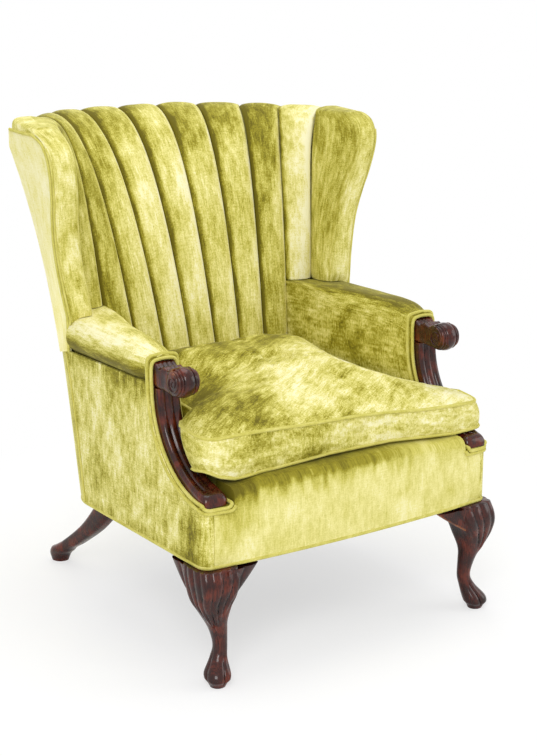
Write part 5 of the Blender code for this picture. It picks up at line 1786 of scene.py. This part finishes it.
            # Darker in two patches on the left of the boxing
            left_dark_patches = hump(point.x, -0.10, 0.07) + 0.6 * hump(point.x, -0.22, 0.04)
            return 0.4 * front - 0.75 * left_dark_patches - 0.1 - 0.15 * ease(point.x, 0.0, 0.2)
        streak = wander(Vector((6 * point.x - 12 * point.y, 36 * point.y - 19 * point.x, 0)), 1.0, 5.0)
        left = hump(point.x, -0.21, 0.09) * hump(point.y, -0.22, 0.15)
        rear = hump(point.x, -0.07, 0.20) * hump(point.y, 0.03, 0.11)
        pale = hump(point.x, -0.05, 0.12) * hump(point.y, -0.24, 0.09)
        right = ease(point.x, 0.08, 0.26)
        run = wander(Vector((34 * point.x, 5 * point.y, 0)), 1.0, 8.0)
        return 0.02 - 1.05 * left - (1.05 - 1.2 * run) * rear + 0.4 * pale + 0.35 * right + 0.45 * streak

    def build(self) -> None:
        """Build the cushion, let its cover swell, and sew on the two welts."""
        bm = skin(self.count, self.rows, self.surface, (2.0, 0.75), self.nap)
        middle = Vector((0, (self.front_y + self.rear_y) / 2, 0))
        poles = [vert for vert in bm.verts if (vert.co - middle).xy.length < self.middle_hole]
        bmesh.ops.delete(bm, geom=poles, context="VERTS")
        bmesh.ops.holes_fill(bm, edges=[edge for edge in bm.edges if edge.is_boundary], sides=0)
        bmesh.ops.recalc_face_normals(bm, faces=bm.faces)
        bm.normal_update()
        turned = Matrix.Rotation(radians(self.weave_turn), 2)
        lay_weave(bm, lambda spot: tuple(turned @ spot.xy), lambda face: abs(face.normal.z) > 0.45)
        made = keep(bm, "cushion_cover", MOTTLED_VELVET, ["seat_cushion"], CUSHION)
        seam = {tuple(round(part, 4) for part in self.surface(k / self.count, self.box))
                for k in range(self.count)}

        def sewn(spot: Vector) -> bool:
            """Whether the top seam, what is below or the rear of an ear holds a point."""
            return (tuple(round(part, 4) for part in spot) in seam
                    or spot.z < self.seam_low(spot.x, spot.y) + self.cord_gap
                    or (abs(spot.x) > self.half_front + 0.001 and spot.y > self.front_y + 0.045))

        swell(made, sewn, self.push, self.swell_cap)
        for name, node, level in (("cushion_welt_top", "cushion_cord_top", self.box),
                                  ("cushion_welt_bottom", "cushion_cord_bottom", self.under)):
            route = []
            for k in range(self.count):
                point = self.surface(k / self.count, level)
                out = Vector((point.x, point.y - middle.y, 0)).normalized()
                route.append(point + out * (0.5 * self.cord_radius))
            keep(tube(route, self.cord_radius, closed=True), name, WELT, [node], CUSHION)


# Show-wood


@dataclass(frozen=True)
class CabrioleLeg:
    """A front leg: fluted leaf carving on the knee, a slim ankle and a clawed foot."""

    stile: float = 0.040
    neck: float = 0.034
    inset: float = 0.010
    rail_bottom: float = 0.2347
    flutes: int = 18
    flute_depth: float = 0.0040
    toe_depth: float = 0.0044
    vein_depth: float = 0.0018
    leaf_rise: float = 0.0015
    toe_knuckle: float = 0.0024
    stile_drop: float = 0.005
    covered: float = 0.010
    stile_share: float = 0.09
    stile_power: float = 3.4
    wear: float = 0.00045
    # Share of the hem height, lean to the side, lean to the front and half-width of each section
    sections: Table = (
        (1.003, -0.002, 0.002, 0.0395), (0.910, 0.000, 0.010, 0.0410), (0.820, 0.002, 0.014, 0.0390),
        (0.710, 0.004, 0.014, 0.0325), (0.580, 0.000, 0.017, 0.0235), (0.445, -0.008, 0.016, 0.0168),
        (0.310, -0.012, 0.015, 0.0138), (0.220, -0.007, 0.018, 0.0165), (0.130, 0.001, 0.027, 0.0235),
        (0.050, 0.005, 0.033, 0.0240), (0.000, 0.005, 0.033, 0.0185))

    def build(self) -> None:
        """Build both front legs."""
        line = through(self.sections, 150)
        middle = self.inset + self.stile / 2
        centre = Vector((BASE.half_width - middle, BASE.front_y + middle, 0))
        for side in Side:
            bm = skin(144, 165, lambda s, t, side=side: side.turn(self.surface(line, centre, s, t)))
            mark_wear(bm, self.wear, BASE.hem_z - self.covered)
            keep(bm, f"cabriole_leg_{side.word}", MAHOGANY, [f"front_leg_{side.word}"], sharp=70)

    def surface(self, line: np.ndarray, centre: Vector, turn: float, along: float) -> Vector:
        """Point on the right-hand leg.

        Args:
            line: Fine table of the sections.
            centre: Plan centre of the stile.
            turn: Share of a turn round the leg.
            along: 0 at the top of the stile, 1 at the sole.

        Returns:
            The point.
        """
        angle = 2 * pi * turn
        if along < self.stile_share:
            steps = ((BASE.rail_top - self.stile_drop, self.stile / 2), (self.rail_bottom, self.stile / 2),
                     (self.rail_bottom, self.neck / 2), (BASE.hem_z, self.neck / 2))
            z, half = steps[min(int(along / self.stile_share * 4), 3)]
            radius = half * square_reach(angle, self.stile_power)
            return centre + Vector((radius * cos(angle), radius * sin(angle), z))
        share, lean_x, lean_y, half = walk(line, (along - self.stile_share) / (1 - self.stile_share))
        knee = ease(share, 0.50, 0.74)
        foot = 1 - ease(share, 0.19, 0.30)
        radius = half * square_reach(angle, 2 + 2.5 * knee)
        off = (angle + pi / 4 + pi) % (2 * pi) - pi
        outward = ease(cos(off), -0.45, 0.15)
        tip = 0.47 + 0.13 * min(abs(off), 1.6)
        leaf = ease(share, tip, tip + 0.09)
        fan = off / (1 + 0.45 * ease(share, 0.55, 1.0))
        groove = abs(cos(self.flutes / 2 * fan)) ** 0.6
        radius += (self.flute_depth * (groove - 0.75) + self.leaf_rise) * leaf * outward
        vein = hump(off, 0.0, 0.10) * ease(share, 0.27, 0.36) * (1 - ease(share, 0.60, 0.72))
        radius -= self.vein_depth * vein
        toes = abs(cos(1.8 * off)) ** 0.5
        clawed = foot * ease(cos(off), -0.35, 0.2)
        radius *= 1 - 0.06 * foot - 0.16 * (1 - ease(share, 0.03, 0.07))
        radius += self.toe_depth * clawed * (toes - 0.72) * ease(share, 0.02, 0.06)
        radius += self.toe_knuckle * clawed * hump(share, 0.10, 0.04) * toes
        return centre + Vector((lean_x + radius * cos(angle), -lean_y + radius * sin(angle),
                                share * BASE.hem_z))


@dataclass(frozen=True)
class KneeBracket:
    """A scrolled ear beside a front leg, carved with curled flutes."""

    length: float = 0.084
    height: float = 0.064
    side_height: float = 0.060
    tip: float = 0.008
    thickness: float = 0.020
    edge: float = 0.040
    forward: float = 0.020
    side_forward: float = 0.008
    flute_depth: float = 0.0034
    rear_depth: Pair = (0.004, 0.010)
    tip_depth: float = 0.003
    rim: float = 0.006
    covered: float = 0.006
    wear: float = 0.0004

    def build(self) -> None:
        """Build the four brackets."""
        for side in Side:
            for front in (True, False):
                bm = skin(64, 60, lambda s, t, f=front, d=side: d.turn(self.surface(f, s, t)))
                mark_wear(bm, self.wear, BASE.hem_z - self.covered)
                place = f"{'front' if front else 'side'}_{side.word}"
                keep(bm, f"knee_ear_{place}", MAHOGANY, [f"knee_bracket_{place}"], sharp=60)

    def surface(self, front: bool, turn: float, along: float) -> Vector:
        """Point on a right-hand bracket, fanned from its inner top corner.

        Args:
            front: Whether it lies along the front or the side.
            turn: Round the slab: out along the carved face, back along the rear.
            along: 0 along the hem, 1 down the leg.

        Returns:
            The point.
        """
        angle = pi / 2 * along
        height = self.height if front else self.side_height
        share = 2 * turn if turn <= 0.5 else 2 - 2 * turn
        drop = mix(self.tip, height, sin(angle) ** 1.9) * share
        reach = self.length * max(cos(angle), 0.0) ** 1.9 * share
        z = BASE.hem_z - 2 * SEAM - drop
        depth = mix(*self.rear_depth, reach / self.length) + self.thickness * (1 - share ** 6)
        if turn <= 0.5:
            fan = atan2(reach + 0.004, height + 0.012 - drop)
            ridge = abs(cos(8.0 * fan)) ** 0.6
            ahead = self.forward if front else self.side_forward
            depth = mix(-ahead, self.tip_depth, (reach / self.length) ** 1.2) + self.rim * share ** 12
            depth += self.flute_depth * (1 - ridge)
        if front:
            return Vector((BASE.half_width - self.edge - reach, BASE.front_y + depth, z))
        return Vector((BASE.half_width - depth, BASE.front_y + self.edge + reach, z))


@dataclass(frozen=True)
class SabreLeg:
    """A rear leg that sweeps back and out to a lipped pad foot."""

    stile_x: float = 0.215
    stile_y: float = 0.132
    stile: float = 0.040
    splay: float = 0.235
    rail_bottom: float = 0.235
    stile_share: float = 0.06
    stile_power: float = 3.4
    lip: float = 0.0035
    wear: float = 0.0006
    # Share of the hem height, backward sweep, length along the sweep and width of each section
    sections: Table = (
        (0.980, 0.002, 0.040, 0.038), (0.820, 0.022, 0.046, 0.038), (0.660, 0.044, 0.053, 0.036),
        (0.455, 0.085, 0.051, 0.033), (0.255, 0.141, 0.046, 0.031), (0.170, 0.170, 0.047, 0.038),
        (0.125, 0.182, 0.049, 0.044), (0.075, 0.191, 0.043, 0.040), (0.000, 0.193, 0.032, 0.031))

    def build(self) -> None:
        """Build both rear legs."""
        line = through(self.sections, 120)
        for side in Side:
            bm = skin(64, 110, lambda s, t, side=side: side.turn(self.surface(line, s, t)))
            mark_wear(bm, self.wear)
            keep(bm, f"sabre_leg_{side.word}", MAHOGANY, [f"rear_leg_{side.word}"], sharp=60)

    def surface(self, line: np.ndarray, turn: float, along: float) -> Vector:
        """Point on the right-hand leg.

        Args:
            line: Fine table of the sections.
            turn: Share of a turn round the leg.
            along: 0 at the top of the stile, 1 at the sole.

        Returns:
            The point.
        """
        angle = 2 * pi * turn
        c, s = cos(angle), sin(angle)
        if along < self.stile_share:
            z = BASE.rail_top if along < self.stile_share / 2 else self.rail_bottom
            radius = self.stile / 2 * square_reach(angle, self.stile_power)
            return Vector((self.stile_x + radius * c, self.stile_y + radius * s, z))
        share, sweep, length, width = walk(line, (along - self.stile_share) / (1 - self.stile_share))
        radius = square_reach(angle, mix(2.2, 3.5, ease(share, 0.18, 0.26)))
        lip = self.lip * hump(share, 0.135, 0.02) * max(0.0, s)
        back = sweep + (length / 2 + lip) * radius * s
        return Vector((self.stile_x + self.splay * back + width / 2 * radius * c, self.stile_y + back,
                       share * BASE.hem_z))


@dataclass(frozen=True)
class ArmPost:
    """The reeded sweep that carries each arm's carved end."""

    reeds: int = 3
    reed_depth: float = 0.0050
    arris: float = 0.0035
    foot_round: float = 0.006
    covered_below: float = 0.372
    wear: float = 0.0008

    def build(self) -> None:
        """Build both posts."""
        for side in Side:
            bm = skin(96, 80, lambda s, t, side=side: side.turn(self.surface(s, t)))
            mark_wear(bm, self.wear, bottom=self.covered_below)
            keep(bm, f"reeded_post_{side.word}", MAHOGANY, [f"arm_post_{side.word}"], sharp=60)

    def surface(self, turn: float, along: float) -> Vector:
        """Point on the right-hand post.

        Args:
            turn: Share round its section, from the inner front edge.
            along: 0 at the knuckle, 1 at the foot.

        Returns:
            The point.
        """
        front, wall = 0.66, 0.10
        angle = pi / 2 * along
        fade = 1 - ease(along, 0.86, 0.95)
        tip = max(0.0, (along - 0.93) / 0.07)
        nose = 1 - sqrt(max(1 - tip * tip, 0.0))
        edge = 0.6 * self.reed_depth * fade + self.arris + self.foot_round * (1 - fade)
        if turn <= front:
            across = -cos(pi * turn / front)
            reed = abs(sin(pi * self.reeds * (across + 1) / 2)) ** 0.62
            offset = self.reed_depth * (1 - reed) * (1 - 0.4 * abs(across)) * fade
            offset += self.arris * abs(across) ** 10 + self.foot_round * (1 - fade) * across ** 4
        elif turn <= front + wall:
            across, offset = 1.0, mix(edge, BASE.post_depth, (turn - front) / wall)
        elif turn <= 1 - wall:
            across, offset = 1 - 2 * (turn - front - wall) / (1 - front - 2 * wall), BASE.post_depth
        else:
            across, offset = -1.0, mix(edge, BASE.post_depth, (1 - turn) / wall)
        offset = mix(offset, BASE.post_depth, 0.8 * nose)
        y, z = BASE.sweep(angle, offset)
        widen = (1 + 0.08 * ease(along, 0.70, 0.92)) * (1 - 0.35 * nose)
        return Vector((BASE.post_x + BASE.post_half * widen * across, y, z))


@dataclass(frozen=True)
class ScrollKnuckle:
    """The carved arm end: a fluted block that rolls over into a barrel with a volute on each end."""

    block_half: float = 0.0235
    block_height: float = 0.048
    reach: float = 0.069
    radius: float = 0.0275
    half_width: float = 0.0225
    axis_rise: float = 0.021
    neck_half: float = 0.0215
    block_wave: float = 0.0045
    # Radius of the volute's bead and of its spiral, from the rim to the eye
    bead: Pair = (0.0022, 0.0010)
    spiral: Pair = (0.0195, 0.0022)
    flute_depth: float = 0.0022
    # Height of a full wear mark on the block, the scroll and the volutes
    block_wear: float = 0.0005
    scroll_wear: float = 0.0010
    volute_wear: float = 0.0007
    # Share of the half width and radius along the barrel: domed end, bead, hollow and swollen middle
    barrel: Table = (
        (1.00, 0.000), (1.00, 0.0165), (0.97, 0.0215), (0.90, 0.0235), (0.80, 0.0238), (0.745, 0.0225),
        (0.715, 0.0232), (0.68, 0.0255), (0.62, 0.0262), (0.56, 0.0255), (0.53, 0.0236), (0.49, 0.0252),
        (0.40, 0.0268), (0.20, 0.0280), (0.0, 0.0285))

    def build(self) -> None:
        """Build both knuckles."""
        for side in Side:
            block = skin(72, 60, lambda s, t, side=side: side.turn(self.block(s, t)))
            mark_wear(block, self.block_wear)
            keep(block, f"knuckle_block_{side.word}", MAHOGANY, [f"scroll_knuckle_{side.word}"], sharp=60)
            roll = self.roll(side)
            mark_wear(roll, self.scroll_wear)
            keep(roll, f"knuckle_scroll_{side.word}", MAHOGANY, sharp=60)
            for end in (-1, 1):
                volute = tube(self.volute(side, end), lambda t: mix(*self.bead, t), 8)
                mark_wear(volute, self.volute_wear)
                word = "outer" if end > 0 else "inner"
                keep(volute, f"knuckle_volute_{word}_{side.word}", MAHOGANY, sharp=60)

    @property
    def low(self) -> float:
        """Height of the block's underside."""
        return BASE.post_top + SEAM

    @property
    def centre(self) -> Vector:
        """Middle of the right-hand barrel."""
        return Vector((BASE.post_x, BASE.arm_front_y - SEAM - self.reach, self.low + self.axis_rise))

    def block(self, turn: float, along: float) -> Vector:
        """Point on the right-hand block.

        Args:
            turn: Share round its section.
            along: 0 at the arm, 1 at the barrel.

        Returns:
            The point.
        """
        y = mix(BASE.arm_front_y - SEAM, self.centre.y + 0.004, along)
        wave = self.block_wave * sin(2 * pi * ease(along, 0.0, 0.75))
        top = self.low + self.block_height - 0.004 * along - 0.006 * ease(along, 0.10, 0.45) - wave
        top = mix(top, self.centre.z + self.radius - 0.001, ease(along, 0.60, 1.0))
        bottom = mix(self.low, self.centre.z - self.radius + 0.004, ease(along, 0.45, 0.8))
        half = mix(self.block_half, self.neck_half, ease(along, 0.2, 0.6))
        angle = 2 * pi * turn
        radius = square_reach(angle, 7)
        x, up = radius * cos(angle), radius * sin(angle)
        z = mix(bottom, top, (up + 1) / 2)
        if up > 0.9:
            groove = 1 - abs(cos(2.5 * pi * x)) ** 0.6
            z -= self.flute_depth * groove * (1 - ease(along, 0.55, 0.85))
        return Vector((BASE.post_x + half * x, y, z))

    def roll(self, side: Side) -> BMesh:
        """Spin the barrel's profile about its axis.

        Args:
            side: Which arm.

        Returns:
            The barrel.
        """
        bm = bmesh.new()
        rows = list(self.barrel) + [(-share, radius) for share, radius in self.barrel[-2::-1]]
        verts = [bm.verts.new(side.turn(self.centre + Vector((share * self.half_width, 0, radius))))
                 for share, radius in rows]
        edges = [bm.edges.new(pair) for pair in zip(verts, verts[1:])]
        bmesh.ops.spin(bm, geom=verts + edges, cent=side.turn(self.centre), axis=(1, 0, 0), dvec=(0, 0, 0),
                       angle=2 * pi, steps=72, use_merge=True)
        bmesh.ops.remove_doubles(bm, verts=bm.verts, dist=MERGE / 10)
        bmesh.ops.recalc_face_normals(bm, faces=bm.faces)
        return bm

    def volute(self, side: Side, end: int) -> list[Vector]:
        """Spiral line carved on one end of the barrel.

        Args:
            side: Which arm.
            end: 1 for the outer end, -1 for the inner one.

        Returns:
            Points from the rim to the eye.
        """
        line = []
        for share in np.linspace(0, 1, 90).tolist():
            angle = radians(100 + 720 * share)
            radius = mix(*self.spiral, share)
            point = Vector((end * (self.half_width + 0.0002), radius * cos(angle), radius * sin(angle)))
            line.append(side.turn(self.centre + point))
        return line


# Hidden frame


class HiddenFrame:
    """Frame, springs, webbing and dust cover: the solids stay and are dressed."""

    finishes: dict[str, Finish] = {
        "rail": BEECH, "corner_block": BEECH, "back_post": BEECH, "seat_webbing": JUTE,
        "seat_spring": WIRE, "dust_cover": CAMBRIC}

    def build(self, nodes: dict[str, Object]) -> None:
        """Dress every solid that no piece stands for.

        Args:
            nodes: The frame's objects by name.
        """
        for name, node in nodes.items():
            for word, finish in self.finishes.items():
                if word in name and not node.hide_render:
                    node.data.materials.clear()
                    node.data.materials.append(dressed(finish))
                    LOG.info("%s dressed as %s", name, finish.name)


# Studio


@dataclass(frozen=True)
class Studio:
    """Pale floor, soft lamps and the camera at the photograph's view."""

    azimuth: float = -34.97
    elevation: float = 14.96
    distance: float = 3.100
    lens: float = 73.33
    sensor: float = 36.0
    target: Triple = (0.0, -0.1086, 0.471)
    lamp_aim: Triple = (0.0, 0.0, 0.5)
    floor_size: float = 14.0
    sky: float = 0.62
    white: str = "#FFFFFF"

    def build(self) -> None:
        """Set the camera, lamps, floor and world."""
        self.camera()
        self.floor()
        self.world()
        self.lamp("key_softbox", (-2.2, -2.6, 2.7), 1.6, 62.0)
        self.lamp("fill_softbox", (2.8, -1.8, 1.6), 1.8, 20.0)
        self.lamp("top_softbox", (0.2, 0.3, 3.2), 2.0, 26.0)
        self.lamp("rear_softbox", (1.2, 3.0, 1.8), 1.8, 16.0)
        bpy.context.scene.view_settings.view_transform = "Standard"

    def camera(self) -> None:
        """Place the camera at the photograph's view."""
        turn, tilt = radians(self.azimuth), radians(self.elevation)
        back = Vector((sin(turn) * cos(tilt), -cos(turn) * cos(tilt), sin(tilt)))
        data = bpy.data.cameras.new("photo_view")
        data.lens = self.lens
        data.sensor_width = self.sensor
        camera = bpy.data.objects.new("photo_view", data)
        camera.location = Vector(self.target) + self.distance * back
        camera.rotation_euler = (-back).to_track_quat("-Z", "Y").to_euler()
        bpy.context.scene.collection.objects.link(camera)
        bpy.context.scene.camera = camera

    def lamp(self, name: str, place: Triple, size: float, power: float) -> None:
        """Hang a square softbox that looks at the chair.

        Args:
            name: What it is called.
            place: Where it hangs.
            size: Length of its edge.
            power: Its watts.
        """
        data = bpy.data.lights.new(name, "AREA")
        data.size = size
        data.energy = power
        lamp = bpy.data.objects.new(name, data)
        lamp.location = place
        lamp.rotation_euler = (Vector(self.lamp_aim) - Vector(place)).to_track_quat("-Z", "Y").to_euler()
        bpy.context.scene.collection.objects.link(lamp)

    def floor(self) -> None:
        """Lay a plain white floor that keeps the chair's shadow."""
        material, tree, shader = new_material("matt_white_floor")
        add(tree, shader, {"Base Color": linear(self.white), "Roughness": 1.0, "Specular IOR Level": 0.0})
        spot = add(tree, "TexCoord").outputs["Object"]
        away = add(tree, "VectorMath", {"operation": "LENGTH"}, {0: spot}).outputs["Value"]
        clear = add(tree, "MapRange", {"From Min": 0.45, "From Max": 1.1, "To Min": 0.55},
                    {"Value": away})
        seen = add(tree, "LightPath").outputs["Is Camera Ray"]
        share = add(tree, "Math", {"operation": "MULTIPLY"}, {0: clear, 1: seen})
        white = add(tree, "Emission", {"Color": linear(self.white), "Strength": 1.0})
        blend = add(tree, "MixShader", None, {0: share, 1: shader, 2: white})
        add(tree, tree.nodes["Material Output"], None, {"Surface": blend})
        bm = bmesh.new()
        bmesh.ops.create_grid(bm, x_segments=1, y_segments=1, size=self.floor_size / 2)
        mesh = bpy.data.meshes.new("floor")
        bm.to_mesh(mesh)
        bm.free()
        mesh.materials.append(material)
        floor = bpy.data.objects.new("floor", mesh)
        bpy.context.scene.collection.objects.link(floor)

    def world(self) -> None:
        """Give a plain sky for light, and white where the camera or a gloss looks past the chair."""
        world = bpy.data.worlds.new("studio")
        world.use_nodes = True
        bpy.context.scene.world = world
        tree = world.node_tree
        path = add(tree, "LightPath")
        seen = add(tree, "Math", {"operation": "MAXIMUM"},
                   {0: path.outputs["Is Camera Ray"], 1: path.outputs["Is Glossy Ray"]})
        seen = add(tree, "Math", {"operation": "MAXIMUM"},
                   {0: seen, 1: path.outputs["Is Transmission Ray"]})
        strength = add(tree, "MapRange", {"To Min": self.sky}, {"Value": seen})
        add(tree, tree.nodes["Background"], {"Color": linear(self.white)}, {"Strength": strength})


def main() -> None:
    """Build the chair around its frame."""
    logging.basicConfig(level=logging.INFO, format="%(message)s")
    for item in list(bpy.data.objects):
        bpy.data.objects.remove(item)
    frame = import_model()
    Studio().build()
    for piece in (FAN, *WINGS.values(), ARM):
        piece.build()
    SEAT.build(frame["nodes"])
    for piece in (SeatCushion(), CabrioleLeg(), KneeBracket(), SabreLeg(), ArmPost(), ScrollKnuckle()):
        piece.build()
    HiddenFrame().build(frame["nodes"])


if __name__ == "__main__":
    main()
